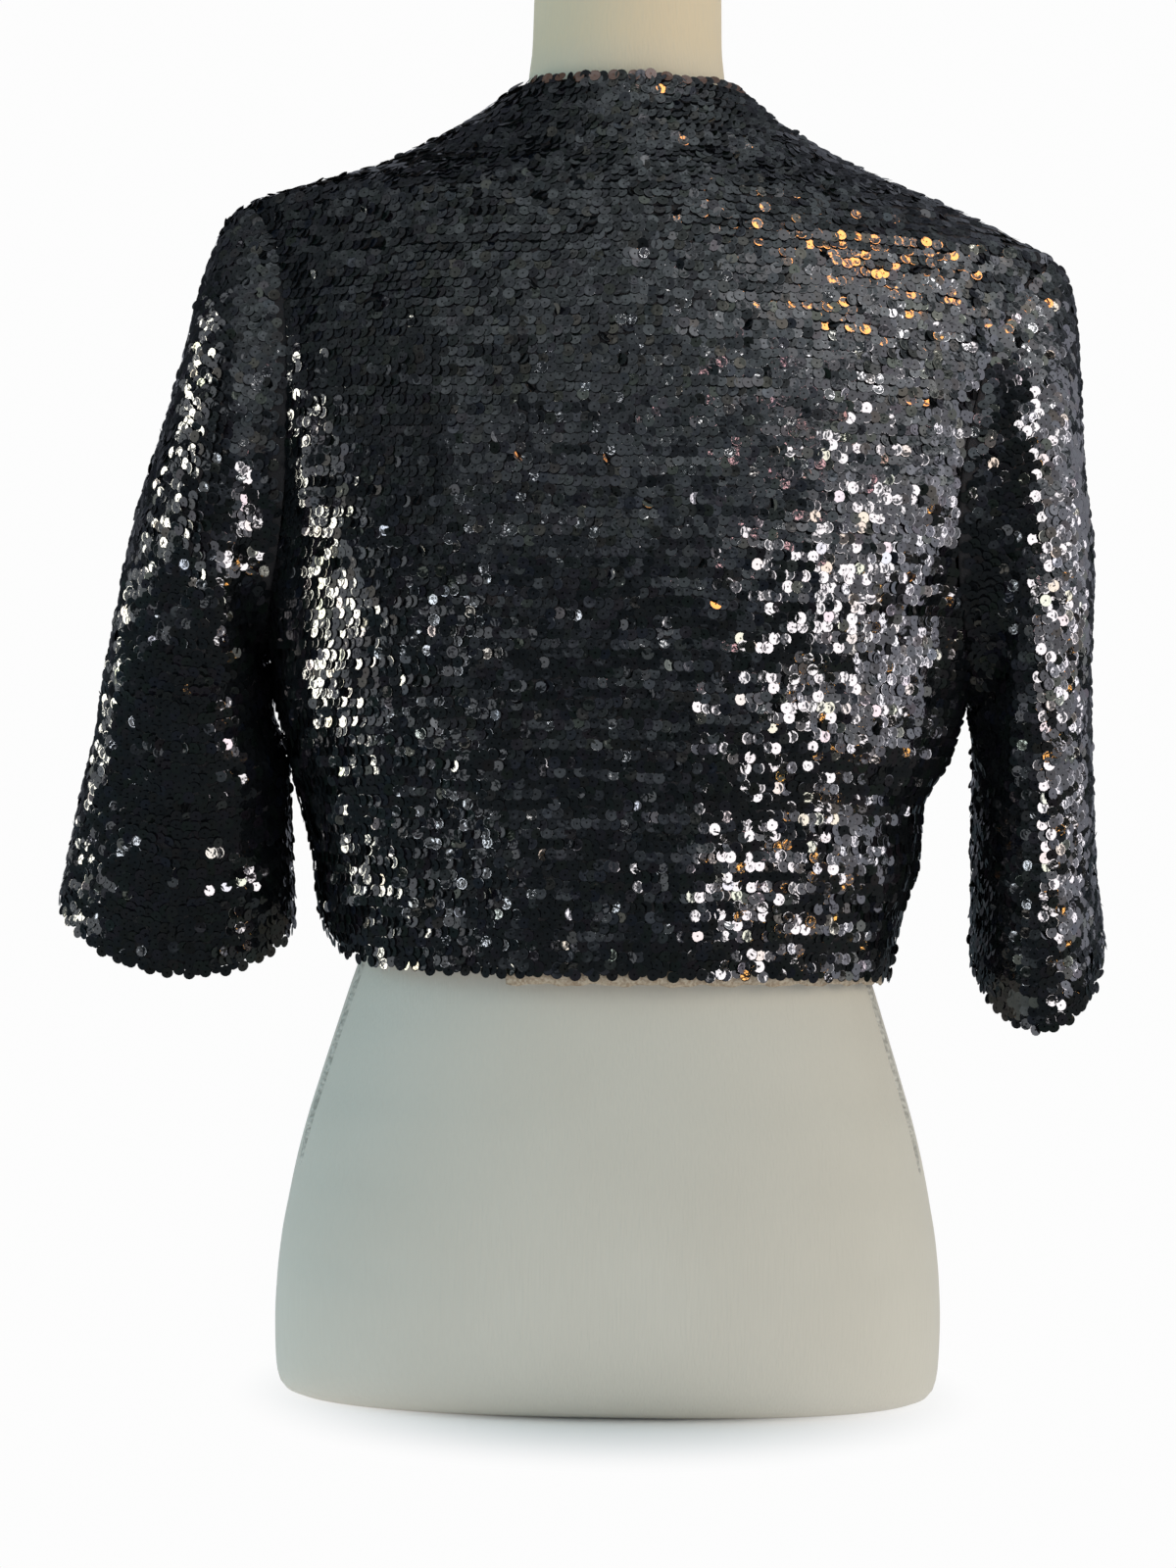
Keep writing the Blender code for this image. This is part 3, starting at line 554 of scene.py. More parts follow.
def cap(side, around, share):
    """The sleeve's cap, from the armhole seam at share 0 to the first ring at share 1."""
    start = body(*armhole(side, around))
    end = ring(side, around, 1.0 + 0 * around)
    upper = np.maximum(np.cos(around), 0) ** 2
    lower = np.maximum(-np.cos(around), 0) ** 2
    reach = CAP_REACH_TOP * upper + CAP_REACH_BOTTOM * lower + CAP_REACH_SIDE * np.sin(around) ** 2
    slope = np.radians(CAP_SLOPE_TOP[side] + (CAP_SLOPE_BOTTOM - CAP_SLOPE_TOP[side]) * lower)
    leave = np.stack([SIGN[side] * np.cos(slope), 0 * slope, -np.sin(slope)], axis=-1)
    land = unit(ring(side, around, 1 + STEP_SLEEVE + 0 * around) - end)
    span = np.linalg.norm(end - start, axis=-1)[..., None]
    first = start + leave * reach[..., None]
    last = end - land * span * CAP_LANDING
    s = share[..., None]
    return (1 - s) ** 3 * start + 3 * s * (1 - s) ** 2 * first + 3 * s * s * (1 - s) * last + s**3 * end


def clear_of_body(points, side, share):
    """Lays the cloth of a sleeve that would meet the body against it, just clear."""
    x, y, z = points[..., 0], points[..., 1], points[..., 2]
    angle, radius = np.arctan2(x, y), np.hypot(x, y)
    gap = TOUCH_GAP * np.clip(share / TOUCH_EASE, 0, 1)
    below = np.clip((ARMHOLE_BOTTOM[side] + TOUCH_START - z) / TOUCH_FADE, 0, 1)
    least = (body_radius(angle, z) + gap) * below
    return about_axis(np.maximum(radius, least), angle, z)


def sleeve(side, around, along):
    """Outside of a sleeve. along is 0 at the armhole seam, 1 at the first ring and CUFF at the last."""
    around, along = np.broadcast_arrays(np.asarray(around, float), np.asarray(along, float))
    share = np.clip(along, 0, 1)
    in_tube = ring(side, around, np.clip(along, 1, None))
    points = np.where((along < 1)[..., None], cap(side, around, share), in_tube)
    return clear_of_body(points, side, share)


def sleeve_normal(side, around, along):
    def surface(u, v):
        return sleeve(side, u, np.clip(v, 0, CUFF))

    return SIGN[side] * normal_of(surface, around, along, STEP_SLEEVE, STEP_SLEEVE)


def shares(values):
    return (values - values[0]) / (values[-1] - values[0])


def side_heights(side):
    """Heights of a panel's rows at its side: up the side seam and then the armhole."""
    low = np.linspace(HEM_SIDE[side], ARMHOLE_BOTTOM[side], SIDE_ROWS + 1)
    return np.concatenate([low[:-1], armhole(side, UP_ARMHOLE)[1]])


def side_turns(side, back):
    """How far round a panel's side lies at each row: a quarter turn less the armhole."""
    arm = np.abs(armhole(side, UP_ARMHOLE if back else -UP_ARMHOLE)[0])
    return np.concatenate([np.full(SIDE_ROWS, math.pi / 2), arm])


def shoulder_spacing():
    """Shares along the shoulder seam, closer together towards the neck."""
    return np.sin(np.linspace(0, 1, SHOULDER_STEPS + 1) * math.pi / 2)


def shoulder_heights(side):
    return ARMHOLE_TOP[side] + (NECK_POINT - ARMHOLE_TOP[side]) * shoulder_spacing()


def back_grid():
    """Turn and height of every point of the back, rows from the hem up, from right to left."""
    u = np.linspace(-1, 1, BACK_COLUMNS + 1)
    left, right = [
        (HEM_SIDE[side] - HEM_CENTRE_BACK) * np.abs(u) ** HEM_RISE_POWER[side] for side in SIDES
    ]
    hem = HEM_CENTRE_BACK + np.where(u > 0, left, right)
    neck = NECK_CENTRE_BACK + (NECK_POINT - NECK_CENTRE_BACK) * np.abs(u) ** NECK_RISE_POWER
    quarter = np.full(SHOULDER_STEPS, math.pi / 2)
    share, reach = {}, {}
    for side in SIDES:
        share[side] = shares(np.concatenate([side_heights(side), shoulder_heights(side)[1:]]))[:, None]
        reach[side] = np.concatenate([side_turns(side, True), quarter])[:, None]
    mix = (1 + u) / 2
    height = hem + (neck - hem) * (share["right"] * (1 - mix) + share["left"] * mix)
    return u * np.where(u >= 0, reach["left"], reach["right"]), height


def front_edge_turn(side, height):
    """How far round the open front's edge or neckline lies at a height, found by halving."""
    rise = np.clip((height - FRONT_NECK_HEIGHT) / (NECK_POINT - FRONT_NECK_HEIGHT), 0, 1)
    wanted = FRONT_EDGE + (FRONT_NECK_HALF_WIDTH - FRONT_EDGE) * np.sqrt(1 - (1 - rise) ** 2)
    low = np.full_like(height, math.pi / 2)
    high = np.full_like(height, math.pi)
    for _ in range(HALVINGS):
        middle = (low + high) / 2
        outside = np.abs(body(SIGN[side] * middle, height)[..., 0]) > wanted
        low, high = np.where(outside, middle, low), np.where(outside, high, middle)
    return (low + high) / 2


def front_grid(side):
    """Turn and height of every point of a front, from the side inwards, blended from its edges."""
    u = shoulder_spacing()
    v = shares(side_heights(side))
    curve = np.clip((u - FRONT_CORNER_START) / (1 - FRONT_CORNER_START), 0, 1)
    curve = curve * FRONT_CORNER_STEEPEST
    corner = 1 - np.sqrt(1 - curve**FRONT_CORNER_POWER)
    corner_turn = front_edge_turn(side, np.array([FRONT_CORNER_HEIGHT[side]]))[0]
    quarter = math.pi / 2
    hem_turn = quarter + (corner_turn - quarter) * u
    hem = HEM_SIDE[side] + (FRONT_CORNER_HEIGHT[side] - HEM_SIDE[side]) * corner / corner[-1]
    edge = FRONT_CORNER_HEIGHT[side] + (NECK_POINT - FRONT_CORNER_HEIGHT[side]) * v
    edge_turn = front_edge_turn(side, edge)
    turn = blended(hem_turn, np.full_like(u, quarter), side_turns(side, False), edge_turn, u, v)
    height = blended(hem, shoulder_heights(side), side_heights(side), edge, u, v)
    return SIGN[side] * turn, height


def blended(bottom, top, start, end, u, v):
    """Values all over a patch, from those along its edges."""
    u, v = u[None, :], v[:, None]
    rows = (1 - v) * bottom + v * top
    columns = (1 - u) * start[:, None] + u * end[:, None]
    corners = (1 - v) * ((1 - u) * start[0] + u * end[0]) + v * ((1 - u) * start[-1] + u * end[-1])
    return rows + columns - corners


def form_point(turn, height):
    """Outside of the dress form, with a plain rounded bust in front."""
    at = section(FORM, FORM["height"], height)
    depth = np.where(np.cos(turn) >= 0, at["back"], at["front"])
    angle = np.arctan2(at["half_width"] * np.sin(turn), depth * np.cos(turn))
    radius = oval_radius(angle, at["half_width"], depth, at["square"])
    x, y = radius * np.sin(angle), radius * np.cos(angle) + at["centre"]
    spread = BUST_SPREAD_UP * np.where(height < BUST_HEIGHT, BUST_BELOW, BUST_ABOVE)
    rise = (height - BUST_HEIGHT) / spread
    bust = BUST_RISE * np.exp(-(rise**2) - ((np.abs(x) - BUST_APART) / BUST_SPREAD_ACROSS) ** 2)
    y = y - bust * np.clip(-np.cos(turn) * BUST_FRONT, 0, 1)
    return np.stack([x, y, height + 0 * x], axis=-1)


def creased(rows, angle, height, radius):
    """How far the creases of a table pull the cloth in."""
    total = np.zeros_like(angle)
    for turn, middle, lean, half_length, width, depth in rows:
        across = np.angle(np.exp(1j * (angle - math.radians(turn)))) * radius
        up = height - middle
        c, s = math.cos(math.radians(lean)), math.sin(math.radians(lean))
        off, along = across * c - up * s, across * s + up * c
        total += depth * np.exp(-((off / width) ** 2) - (np.abs(along) / half_length) ** 3)
    return total


def grid_normals(points, like):
    """Unit normals of a grid of points, on the side of the vectors in like."""
    up, across = np.gradient(points, axis=(0, 1))
    normal = unit(np.cross(up, across))
    return normal * np.sign(np.sum(normal * like, axis=-1, keepdims=True))


def drawn_in(points, row_ends, column_ends):
    """A panel with its sewn edges drawn back by half a seam gap."""
    moved = points.copy()
    for end, next_to in column_ends:
        moved[:, end] += unit(points[:, next_to] - points[:, end]) * SEAM_GAP / 2
    for end, next_to in row_ends:
        moved[end] += unit(points[next_to] - points[end]) * SEAM_GAP / 2
    return moved


def seam_outward(side, around):
    """Midway between the directions out of the body and out of the sleeve at the armhole."""
    turn, height = armhole(side, around)
    beside = np.full_like(around, STEP_SEAM)
    return unit(body_normal(turn, height) + sleeve_normal(side, around, beside))


def body_surface(turn, height, armholes, row_ends, column_ends):
    """A piece of the body's ground cloth, the directions out of it and its row levels. armholes
    gives the column, side and way round of its sides."""
    out = body_normal(turn, height)
    for column, side, way in armholes:
        out[SIDE_ROWS : SIDE_ROWS + ARMHOLE_ROWS + 1, column] = seam_outward(side, way * UP_ARMHOLE)
    pull = creased(BODY_CREASES, turn, height, CREASE_RADIUS)
    points = body(turn, height) - out * (CLOTH_DEPTH + pull)[..., None]
    return drawn_in(points, row_ends, column_ends), out, height_levels(height)


def back_surface():
    return body_surface(*back_grid(), [(0, "right", 1), (-1, "left", 1)], [], [(0, 1), (-1, -2)])


def front_surface(side):
    return body_surface(*front_grid(side), [(0, side, -1)], [(-1, -2)], [(0, 1)])


def sleeve_surface(side):
    """A sleeve's ground cloth, rows from the cuff up and columns round it from the underarm."""
    around = np.linspace(math.pi, 3 * math.pi, 2 * ARMHOLE_ROWS + 1)
    in_cap = np.linspace(0, 1, CAP_ROWS + 1) ** CAP_CROWDING
    along = np.concatenate([in_cap, np.linspace(1, CUFF, SLEEVE_ROWS + 1)[1:]])[::-1]
    around, along = np.meshgrid(around, along)
    points = sleeve(side, around, along)
    out = sleeve_normal(side, around, along)
    out[-1] = seam_outward(side, around[-1])
    pull = creased(SLEEVE_CREASES[side], around, points[..., 2], SLEEVE_CREASE_RADIUS)
    pull = pull * np.clip(along, 0, 1)
    points = points - out * (CLOTH_DEPTH + pull)[..., None]
    points = drawn_in(points, [(-1, -2)], [])
    return points, out, travelled(points)


def height_levels(height):
    """Distance up the body's cloth at a height, measured beside the middle of the back."""
    places = np.linspace(ROW_METER_FROM, ROW_METER_TO, ROW_METER_STEPS)
    line = body(np.full_like(places, math.radians(ROW_METER_TURN)), places)
    return np.interp(height, places, travelled(line))


def linked(name, data):
    obj = bpy.data.objects.new(name, data)
    bpy.context.scene.collection.objects.link(obj)
    return obj


def direction(azimuth, elevation):
    """A direction given in degrees towards the picture's right and up."""
    azimuth, elevation = math.radians(azimuth), math.radians(elevation)
    level = math.cos(elevation)
    return np.array([-math.sin(azimuth) * level, math.cos(azimuth) * level, math.sin(elevation)])


def grid_faces(rows, columns):
    a = (np.arange(rows - 1)[:, None] * columns + np.arange(columns - 1)).ravel()
    return np.stack([a, a + 1, a + columns + 1, a + columns], axis=-1)


def new_mesh(name, points, faces, finish, values=None):
    mesh = bpy.data.meshes.new(name)
    mesh.from_pydata(points.tolist(), [], faces)
    mesh.materials.append(finish)
    mesh.shade_smooth()
    for title, each in (values or {}).items():
        layer = mesh.attributes.new(title, "FLOAT", "POINT")
        layer.data.foreach_set("value", np.asarray(each, np.float32))
    obj = linked(name, mesh)
    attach(obj, "root")
    return obj


def cloth_shell(name, points, normal, finish, flip):
    """A thin closed wall of cloth: outer face, inner face and the rim between them."""
    rows, columns = points.shape[:2]
    index = np.arange(rows * columns).reshape(rows, columns)
    edge = np.concatenate([index[0], index[1:, -1], index[-1, -2::-1], index[-2:0:-1, 0]])
    following = np.roll(edge, -1)
    rim = np.stack([edge + index.size, following + index.size, following, edge], axis=-1)
    outer = grid_faces(rows, columns)
    faces = np.concatenate([outer, outer[:, ::-1] + index.size, rim])
    if flip:
        faces = faces[:, ::-1]
    both = np.concatenate([points.reshape(-1, 3), (points - normal * CLOTH_WALL).reshape(-1, 3)])
    return new_mesh(name, both, faces.tolist(), finish)


def along_line(points, normals, step, shift):
    """Places a step apart along a line of points, and the cloth's and the line's directions."""
    length = travelled(points)
    count = int(round((length[-1] - shift) / step))
    if count < 1:
        return (np.zeros((0, 3)),) * 3
    places = shift + (np.arange(count) + 0.5) * (length[-1] - shift) / count
    index = np.interp(places, length, np.arange(len(points)))
    return at_index(points, index), unit(at_index(normals, index)), line_direction(points, index)


def travelled(points):
    """Distance from the first point of a line, or from the first row of a grid."""
    step = np.linalg.norm(np.diff(points, axis=0), axis=-1)
    return np.concatenate([0 * step[:1], np.cumsum(step, axis=0)])


def at_index(values, index, columns=()):
    """Values between the items of a line, or of each of some columns of a grid."""
    low = np.clip(index.astype(int), 0, len(values) - 2)
    share = (index - low)[:, None]
    return values[(low, *columns)] * (1 - share) + values[(low + 1, *columns)] * share


def line_direction(points, index):
    low = np.clip(index.astype(int), 0, len(points) - 2)
    return unit(points[low + 1] - points[low])


def sequin_rows(points, normals, levels):
    """Where the sequins of a piece sit, with the cloth's outward and row directions."""
    found = []
    x, z = points[..., 0], points[..., 2]
    waves = sum(part * np.sin(a * x + b * z + start) for a, b, start, part in ROW_WAVES)
    levels = levels + ROW_WANDER * waves / ROW_WAVES_SUM
    first = int(math.ceil(levels.min() / SEQUIN_ROW) + 0.5)
    for number in range(first, int(levels.max() / SEQUIN_ROW) + 1):
        level = (number + 0.5) * SEQUIN_ROW
        shift = SEQUIN_STEP / 2 * (number % 2)
        reached = np.flatnonzero((levels[0] <= level) & (levels[-1] >= level))
        for run in np.split(reached, np.flatnonzero(np.diff(reached) > 1) + 1):
            if len(run) > 1:
                index = np.array([np.interp(level, levels[:, k], np.arange(len(points))) for k in run])
                line, out = [at_index(grid, index, (run,)) for grid in (points, normals)]
                found.append(along_line(line, out, SEQUIN_STEP, shift))
    parts = [np.concatenate(part) for part in zip(*found)]
    return [*parts, np.zeros(len(parts[0]))]


def edge_sequins(line, normals, inward, amber):
    """A row along an edge, every other sequin standing past it, and in amber if asked."""
    places, out, along = along_line(line, normals, EDGE_STEP, 0.0)
    index = np.arange(len(places))
    inside = at_index(inward, np.linspace(0, len(inward) - 1, len(places)))
    past = np.where(index % 2 == 0, NECK_EDGE_OUT if amber else EDGE_OUT, EDGE_IN)[:, None]
    return places - unit(inside) * past, out, along, amber * (index % 2 == 0)


def along_runs(random, count):
    """Random numbers of unit spread, partly shared by neighbours."""
    wide = random.normal(0, 1, count + RUN - 1)
    shared = np.convolve(wide, np.full(RUN, RUN**-0.5), "valid")
    return RUN_SHARE * shared + math.sqrt(1 - RUN_SHARE**2) * random.normal(0, 1, count)


def hanging(places, out):
    """The directions that sequins face before they lean, and how widely they then spread."""
    cloth, spread = out, np.ones(len(places))
    for x, height, half_width, half_height, azimuth, elevation, turn, calm in HANGS:
        aim = direction(azimuth, elevation)
        across = (places[:, 0] - x) / half_width
        up = (places[:, 2] - height) / half_height
        near = np.exp(-(across**4) - up**4) * (places[:, 1] > HANG_BEHIND)
        share = (turn * near)[:, None]
        out = unit(out * (1 - share) + aim * share)
        spread *= 1 - calm * near
    turned = np.arccos(np.clip(np.sum(out * cloth, axis=-1), -1, 1))
    share = np.minimum(1, math.radians(HANG_MOST) / np.maximum(turned, HANG_LEAST))[:, None]
    return unit(cloth * (1 - share) + out * share), spread


def sequin_mesh(name, placed, finish, seed):
    """The sequins of a piece as one mesh of shallow cups."""
    random = np.random.default_rng(seed)
    places, out, along, amber = [np.concatenate(part) for part in zip(*placed)]
    count = len(places)
    up = np.cross(out, along)
    up = unit(up * np.where(up[:, 2:] < 0, -1, 1))
    stray = random.random(count) < SEQUIN_STRAY_SHARE
    row = (places[:, 2] / SEQUIN_ROW).astype(int)
    facing, spread = hanging(places, out)
    lean, nod = [
        middle + along_runs(random, count) * np.where(stray, SEQUIN_STRAY_SPREAD, wide * spread)
        for middle, wide in (SEQUIN_LEAN, SEQUIN_NOD)
    ]
    nod += random.normal(0, ROW_NOD_SPREAD, row.max() + 1)[row] * spread
    lean = np.radians(np.clip(lean, *SEQUIN_LEAN_LIMITS))
    nod = np.radians(np.clip(nod, *SEQUIN_NOD_LIMITS))
    face = unit(facing + along * np.tan(lean)[:, None] + up * np.tan(nod)[:, None])
    first = unit(along - face * np.sum(face * along, axis=-1, keepdims=True))
    second = np.cross(face, first)
    jitter = random.normal(0, SEQUIN_JITTER, (count, 2))
    lift = SEQUIN_LIFT + SEQUIN_JITTER * random.random(count)
    press = np.clip((out[:, 2] - SHOULDER_PRESS_FROM) / SHOULDER_PRESS_OVER, 0, 1)
    lift *= 1 - SHOULDER_PRESS * press
    centre = places + out * lift[:, None] + along * jitter[:, :1] + up * jitter[:, 1:]
    cup = np.radians(SEQUIN_CUP + random.normal(0, SEQUIN_CUP_SPREAD, count))
    angle = np.linspace(0, 2 * math.pi, SEQUIN_SIDES + 1)[:-1]
    rim = (
        centre[:, None]
        + first[:, None] * (np.cos(angle) * SEQUIN_RADIUS)[:, None]
        + second[:, None] * (np.sin(angle) * SEQUIN_RADIUS)[:, None]
        + (face * (np.tan(cup) * SEQUIN_RADIUS)[:, None])[:, None]
    )
    points = np.concatenate([centre[:, None], rim], axis=1).reshape(-1, 3)
    size = SEQUIN_SIDES + 1
    corner = np.arange(SEQUIN_SIDES)
    fan = np.stack([0 * corner, corner + 1, (corner + 1) % SEQUIN_SIDES + 1], axis=-1)
    faces = (np.arange(count)[:, None, None] * size + fan).reshape(-1, 3).tolist()
    near = np.hypot(centre[:, 0] - TURNED_AT[0], centre[:, 2] - TURNED_AT[1]) < TURNED_REACH
    values = {
        "sequin_radius": np.tile(np.concatenate([[0], np.ones(SEQUIN_SIDES)]), count),
        "sequin_tint": np.repeat(random.random(count), size),
        "sequin_turned": np.repeat(near & (centre[:, 1] > TURNED_BEHIND), size),
        "sequin_amber": np.repeat(amber, size),
    }
    return new_mesh(name, points, faces, finish, values)


class Nodes:
    """The node tree of a material or world. A node's feeds are sockets, numbers, vectors or
    colours, by the names or numbers of its inputs."""

    def __init__(self, owner):
        owner.use_nodes = True
        self.owner = owner
        self.tree = owner.node_tree
        self.shader = self.tree.nodes.get("Principled BSDF")

    def feed(self, node, feeds):
        for key, value in feeds.items():
            socket = node.inputs[key]
            if isinstance(value, bpy.types.NodeSocket):
                self.tree.links.new(value, socket)
            elif isinstance(value, tuple):
                socket.default_value = (*value, 1)[: len(socket.default_value)]
            else:
                socket.default_value = value
        return node

    def add(self, kind, feeds, **settings):
        node = self.tree.nodes.new("ShaderNode" + kind)
        for key, value in settings.items():
            setattr(node, key, value)
        return self.feed(node, feeds)

    def math(self, operation, *values):
        return self.add("Math", dict(enumerate(values)), operation=operation).outputs[0]

    def mix(self, factor, first, second):
        return self.add("Mix", {0: factor, 6: first, 7: second}, data_type="RGBA").outputs[2]

    def chosen(self, factor, first, second):
        return self.add("MixShader", {0: factor, 1: first.outputs[0], 2: second.outputs[0]})

    def ranged(self, value, low, high, results=(0.0, 1.0), way="LINEAR"):
        feeds = {"Value": value, "From Min": low, "From Max": high}
        feeds |= {"To Min": results[0], "To Max": results[1]}
        return self.add("MapRange", feeds, interpolation_type=way).outputs[0]

    def ramp(self, factor, stops):
        node = self.add("ValToRGB", {0: factor})
        elements = node.color_ramp.elements
        while len(elements) < len(stops):
            elements.new(0.5)
        for element, (place, colour) in zip(elements, stops):
            element.position = place
            element.color = (*colour, 1)
        return node.outputs[0]

    def noise(self, vector, scale, detail=2.0):
        return self.add("TexNoise", {"Vector": vector, "Scale": scale, "Detail": detail}).outputs["Fac"]

    def bump(self, height, distance, strength=1.0):
        node = self.add("Bump", {"Height": height, "Distance": distance, "Strength": strength})
        self.feed(self.shader, {"Normal": node.outputs[0]})

    def attribute(self, name):
        return self.add("Attribute", {}, attribute_name=name).outputs["Fac"]

    def place(self, stretch=None):
        place = self.add("TexCoord", {}).outputs["Object"]
        return self.add("Mapping", {"Vector": place, "Scale": stretch}).outputs[0] if stretch else place


def new_material(name):
    return Nodes(bpy.data.materials.new(name))


def sequin_material():
    nodes = new_material("black_sequins")
    tint, radius, turned, amber = [
        nodes.attribute("sequin_" + name) for name in ("tint", "radius", "turned", "amber")
    ]
    hole = nodes.math("LESS_THAN", radius, HOLE_RADIUS)
    colour = nodes.ramp(tint, SEQUIN_BLACKS)
    for share, other in ((hole, HOLE_COLOUR), (turned, TURNED_COLOUR), (amber, AMBER_COLOUR)):
        colour = nodes.mix(share, colour, other)
    shuffled = nodes.math("FRACT", nodes.math("MULTIPLY", tint, GLINT_SHUFFLE))
    rough = nodes.math("MULTIPLY_ADD", nodes.noise(nodes.place(), WEAR_SCALE), *WEAR_ROUGHNESS)
    looks = {
        "Base Color": colour,
        "Specular Tint": nodes.ramp(shuffled, SEQUIN_GLINTS),
        "Roughness": nodes.math("ADD", rough, nodes.math("MULTIPLY", turned, TURNED_ROUGHNESS)),
        "IOR": 1.50,
        "Specular IOR Level": nodes.math("MULTIPLY_ADD", hole, *SEQUIN_SHINE),
    }
    nodes.feed(nodes.shader, looks)
    dents = nodes.math("MULTIPLY", nodes.noise(nodes.place(), DENT_SCALE, 1.0), DENT_SHARE)
    rim = nodes.math("MULTIPLY", nodes.math("POWER", radius, RIM_POWER), RIM_SHARE)
    nodes.bump(nodes.math("ADD", dents, rim), DENT_DEPTH)
    return nodes.owner


def jersey_material():
    nodes = new_material("cream_jersey")
    wales = nodes.noise(nodes.place(WALE_STRETCH), WALE_SCALE, 1.0)
    place = nodes.place()
    colour = nodes.ramp(nodes.noise(place, JERSEY_PATCHES), JERSEY_CREAMS)
    height = nodes.add("SeparateXYZ", {0: place}).outputs["Z"]
    colour = nodes.mix(nodes.ranged(height, *NECK_BEIGE_HEIGHTS), colour, NECK_BEIGE)
    colour = nodes.mix(nodes.math("MULTIPLY", wales, WALE_SHARE), colour, WALE_COLOUR)
    nodes.feed(nodes.shader, {"Base Color": colour} | JERSEY_FINISH)
    nodes.bump(wales, *JERSEY_BUMP)
    return nodes.owner


def fibre_material(name):
    """Plain cloth or thread, coloured and roughened by one fine noise."""
    nodes = new_material(name)
    stretch, scale, detail, stops, roughness, gloss, bump = FIBRES[name]
    fibres = nodes.noise(nodes.place(stretch), scale, detail)
    colour = nodes.ramp(fibres, stops)
    nodes.feed(nodes.shader, {"Base Color": colour, "Roughness": roughness, "Specular IOR Level": gloss})
    nodes.bump(fibres, bump)
    return nodes.owner


def add_tape(points, out, finish):
    """The wavy brown edge of the binding tape below part of the back's hem."""
    index = np.linspace(TAPE_FROM, TAPE_TO, TAPE_COLUMNS) * (points.shape[1] - 1)
    line, normal = at_index(points[0], index), unit(at_index(out[0], index))
    down = unit(at_index(points[0] - points[1], index))
    wave = TAPE_WAVE * sum(part * np.sin(index * rate + start) for rate, start, part in TAPE_RIPPLES)
    lowest = np.linspace(*TAPE_DOWN, TAPE_COLUMNS) + wave
    drops = (np.full(TAPE_COLUMNS, -TAPE_UP), lowest / 2, lowest)
    rows = [line + down * drop[:, None] - normal * TAPE_BEHIND for drop in drops]
    return cloth_shell("hem_tape", np.stack(rows[::-1]), np.stack([normal] * 3), finish, True)


def add_side_seams(finish):
    """A raised seam down each side of the form below the jacket."""
    height = np.linspace(SEAM_TOP, SEAM_BOTTOM, SEAM_ROWS)
    fade = np.clip((height - SEAM_BOTTOM) / SEAM_FADE, 0, 1)
    for side in SIDES:
        turn = np.full_like(height, SIGN[side] * math.radians(SEAM_TURN))
        middle = form_point(turn, height)
        across = unit(form_point(turn + STEP_TURN, height) - form_point(turn - STEP_TURN, height))
        out = unit(np.cross(across, unit(np.gradient(middle, axis=0))))
        rows = []
        for aside, lift in SEAM_PROFILE:
            angle = turn + aside / np.hypot(middle[:, 0], middle[:, 1])
            rows.append(form_point(angle, height) + out * ((lift + SEAM_SINK) * fade - SEAM_SINK)[:, None])
        points = np.stack(rows, axis=1).reshape(-1, 3)
        faces = grid_faces(SEAM_ROWS, len(SEAM_PROFILE)).tolist()
        new_mesh(f"form_{side}_seam", points, faces, finish)


def add_form(finish):
    """The dress form, flat under its base and on top of its neck."""
    places, width = FORM["height"], FORM["half_width"]
    travel = np.concatenate([[0], np.cumsum(np.hypot(np.diff(places), np.diff(width)))])
    height = np.interp(np.linspace(0, travel[-1], FORM_ROWS + 1), travel, places)
    turn = np.linspace(0, 2 * math.pi, FORM_COLUMNS + 1)[:-1]
    points = form_point(*np.meshgrid(turn, height))
    index = np.arange(points.size // 3).reshape(-1, FORM_COLUMNS)
    following = np.roll(index, -1, axis=1)
    walls = np.stack([following[:-1], index[:-1], index[1:], following[1:]], axis=-1)
    faces = walls.reshape(-1, 4).tolist() + [index[0].tolist(), index[-1, ::-1].tolist()]
    form = new_mesh("form_jersey", points.reshape(-1, 3), faces, finish)
    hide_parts("dress_form")
    return form


def add_cloth(name, surface, edges, ground, sequins, tape=None):
    """A sequinned piece: its ground cloth and, as one mesh, the sequins on it. A back's neck edge
    shows every other sequin in amber, and its hem shows the binding tape."""
    points, out, levels = surface
    width, length, area, flip, seed = CLOTHS[name]
    normals = grid_normals(points, out)
    shell = cloth_shell(f"{name}_cloth", points, normals, ground, flip)
    placed = [sequin_rows(points, normals, levels)]
    for edge, inner in edges:
        inward = points[inner] - points[edge]
        amber = float(tape is not None and edge == NECK)
        placed.append(edge_sequins(points[edge], normals[edge], inward, amber))
    spangles = sequin_mesh(f"{name}_sequins", placed, sequins, seed)
    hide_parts(name)
    pieces = [spangles] + ([add_tape(points, out, tape)] if tape else [])


def add_camera():
    data = bpy.data.cameras.new("camera")
    data.lens = CAMERA_LENS
    camera = linked("camera", data)
    roll = math.radians(CAMERA_ROLL)
    right = Vector((-math.cos(roll), 0, math.sin(roll)))
    up = Vector((math.sin(roll), 0, math.cos(roll)))
    turned = Matrix((right, up, Vector((0, 1, 0)))).transposed()
    camera.matrix_world = Matrix.Translation(CAMERA_AT) @ turned.to_4x4()
    bpy.context.scene.camera = camera


def add_lights():
    for name, azimuth, elevation, distance, width, height, radiance, colour, fill in LIGHTS:
        data = bpy.data.lights.new(name, "AREA")
        data.shape = "RECTANGLE"
        data.size, data.size_y = width, height
        data.energy = radiance * math.pi * width * height
        data.color = colour
        lamp = linked(name, data)
        towards = Vector(direction(azimuth, elevation))
        facing = towards.to_track_quat("Z", "Y").to_matrix().to_4x4()
        lamp.matrix_world = Matrix.Translation(Vector(LIGHT_AIM) + towards * distance) @ facing
        lamp.visible_camera = False
        lamp.visible_glossy = not fill
        lamp.visible_diffuse = bool(fill)


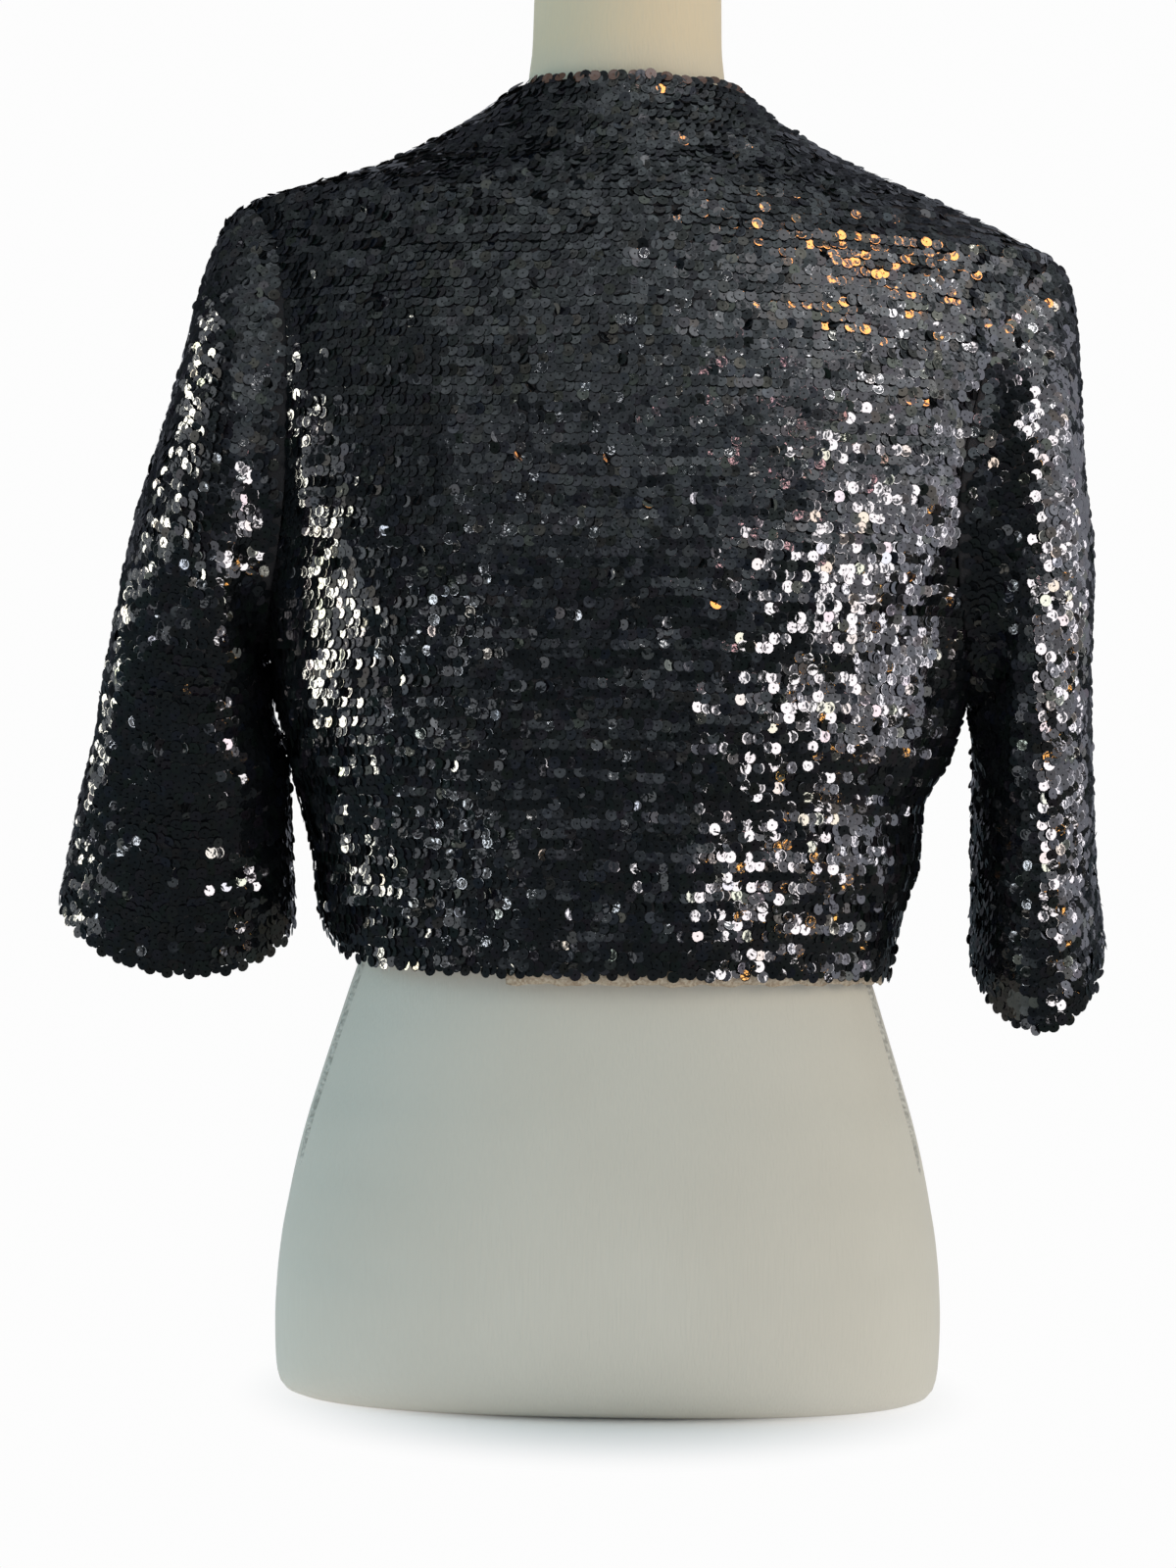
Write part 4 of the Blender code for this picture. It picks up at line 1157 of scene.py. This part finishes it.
def add_world():
    """A pale backdrop for the camera, and a room that gloss sees: brighter above, and before and
    behind the jacket, than at its sides."""
    world = bpy.data.worlds.new("room")
    bpy.context.scene.world = world
    nodes = Nodes(world)
    towards = nodes.add("TexCoord", {}).outputs["Generated"]
    parts = nodes.add("SeparateXYZ", {0: towards}).outputs
    uneven = nodes.ranged(nodes.noise(towards, ROOM_PATCH_SCALE), *ROOM_PATCH_RANGE, ROOM_PATCHES)
    strength = nodes.math("MULTIPLY", uneven, nodes.ranged(parts["X"], 1, -1, ROOM_LEFT_TO_RIGHT))
    by_depth = nodes.ramp(nodes.ranged(parts["Y"], -1, 1), ROOM_BY_DEPTH)
    walls = nodes.add("Background", {"Color": by_depth, "Strength": strength})
    ceiling = nodes.add("Background", {"Color": ROOM_ABOVE, "Strength": strength})
    high = nodes.ranged(parts["Z"], *ROOM_ABOVE_HEIGHTS)
    above = nodes.math("MULTIPLY", high, nodes.ranged(parts["Y"], *ROOM_ABOVE_DEPTHS))
    rays = nodes.add("LightPath", {}).outputs
    gloss = nodes.chosen(above, walls, ceiling)
    room = nodes.chosen(rays["Is Glossy Ray"], nodes.add("Background", {"Color": ROOM}), gloss)
    shown = nodes.chosen(rays["Is Camera Ray"], room, nodes.add("Background", {"Color": BACKDROP}))
    nodes.feed(nodes.tree.nodes["World Output"], {"Surface": shown.outputs[0]})


def add_floor():
    """A wide pale floor that turns into the backdrop's colour away from the form."""
    nodes = new_material("pale_floor")
    nodes.feed(nodes.shader, {"Base Color": FLOOR_WHITE, "Roughness": FLOOR_ROUGHNESS})
    distance = nodes.add("VectorMath", {0: nodes.place()}, operation="LENGTH").outputs["Value"]
    reach = nodes.ranged(distance, *FLOOR_FADE, way="SMOOTHSTEP")
    away = nodes.chosen(reach, nodes.shader, nodes.add("Emission", {"Color": BACKDROP}))
    glossy = nodes.add("LightPath", {}).outputs["Is Glossy Ray"]
    seen = nodes.chosen(glossy, away, nodes.add("BsdfDiffuse", {"Color": FLOOR_IN_GLOSS}))
    nodes.feed(nodes.tree.nodes["Material Output"], {"Surface": seen.outputs[0]})
    mesh = bpy.data.meshes.new("floor")
    c = FLOOR_HALF
    mesh.from_pydata([(-c, -c, 0), (c, -c, 0), (c, c, 0), (-c, c, 0)], [], [(0, 1, 2, 3)])
    mesh.materials.append(nodes.owner)
    linked("floor", mesh)


def main():
    bpy.context.scene.view_settings.view_transform = "Standard"
    add_camera()
    add_world()
    add_lights()
    add_floor()
    form = add_form(jersey_material())
    add_side_seams(fibre_material("overlocked_seam"))
    ground, tape = fibre_material("black_ground_cloth"), fibre_material("brown_tape")
    sequins = sequin_material()
    hem, neck = (HEM, 1), (NECK, -2)
    opening = (np.s_[:, -1], np.s_[:, -2])
    add_cloth("back", back_surface(), [hem, neck], ground, sequins, tape)
    for side in SIDES:
        add_cloth(f"{side}_front", front_surface(side), [hem, opening], ground, sequins)
        add_cloth(f"{side}_sleeve", sleeve_surface(side), [hem], ground, sequins)


main()
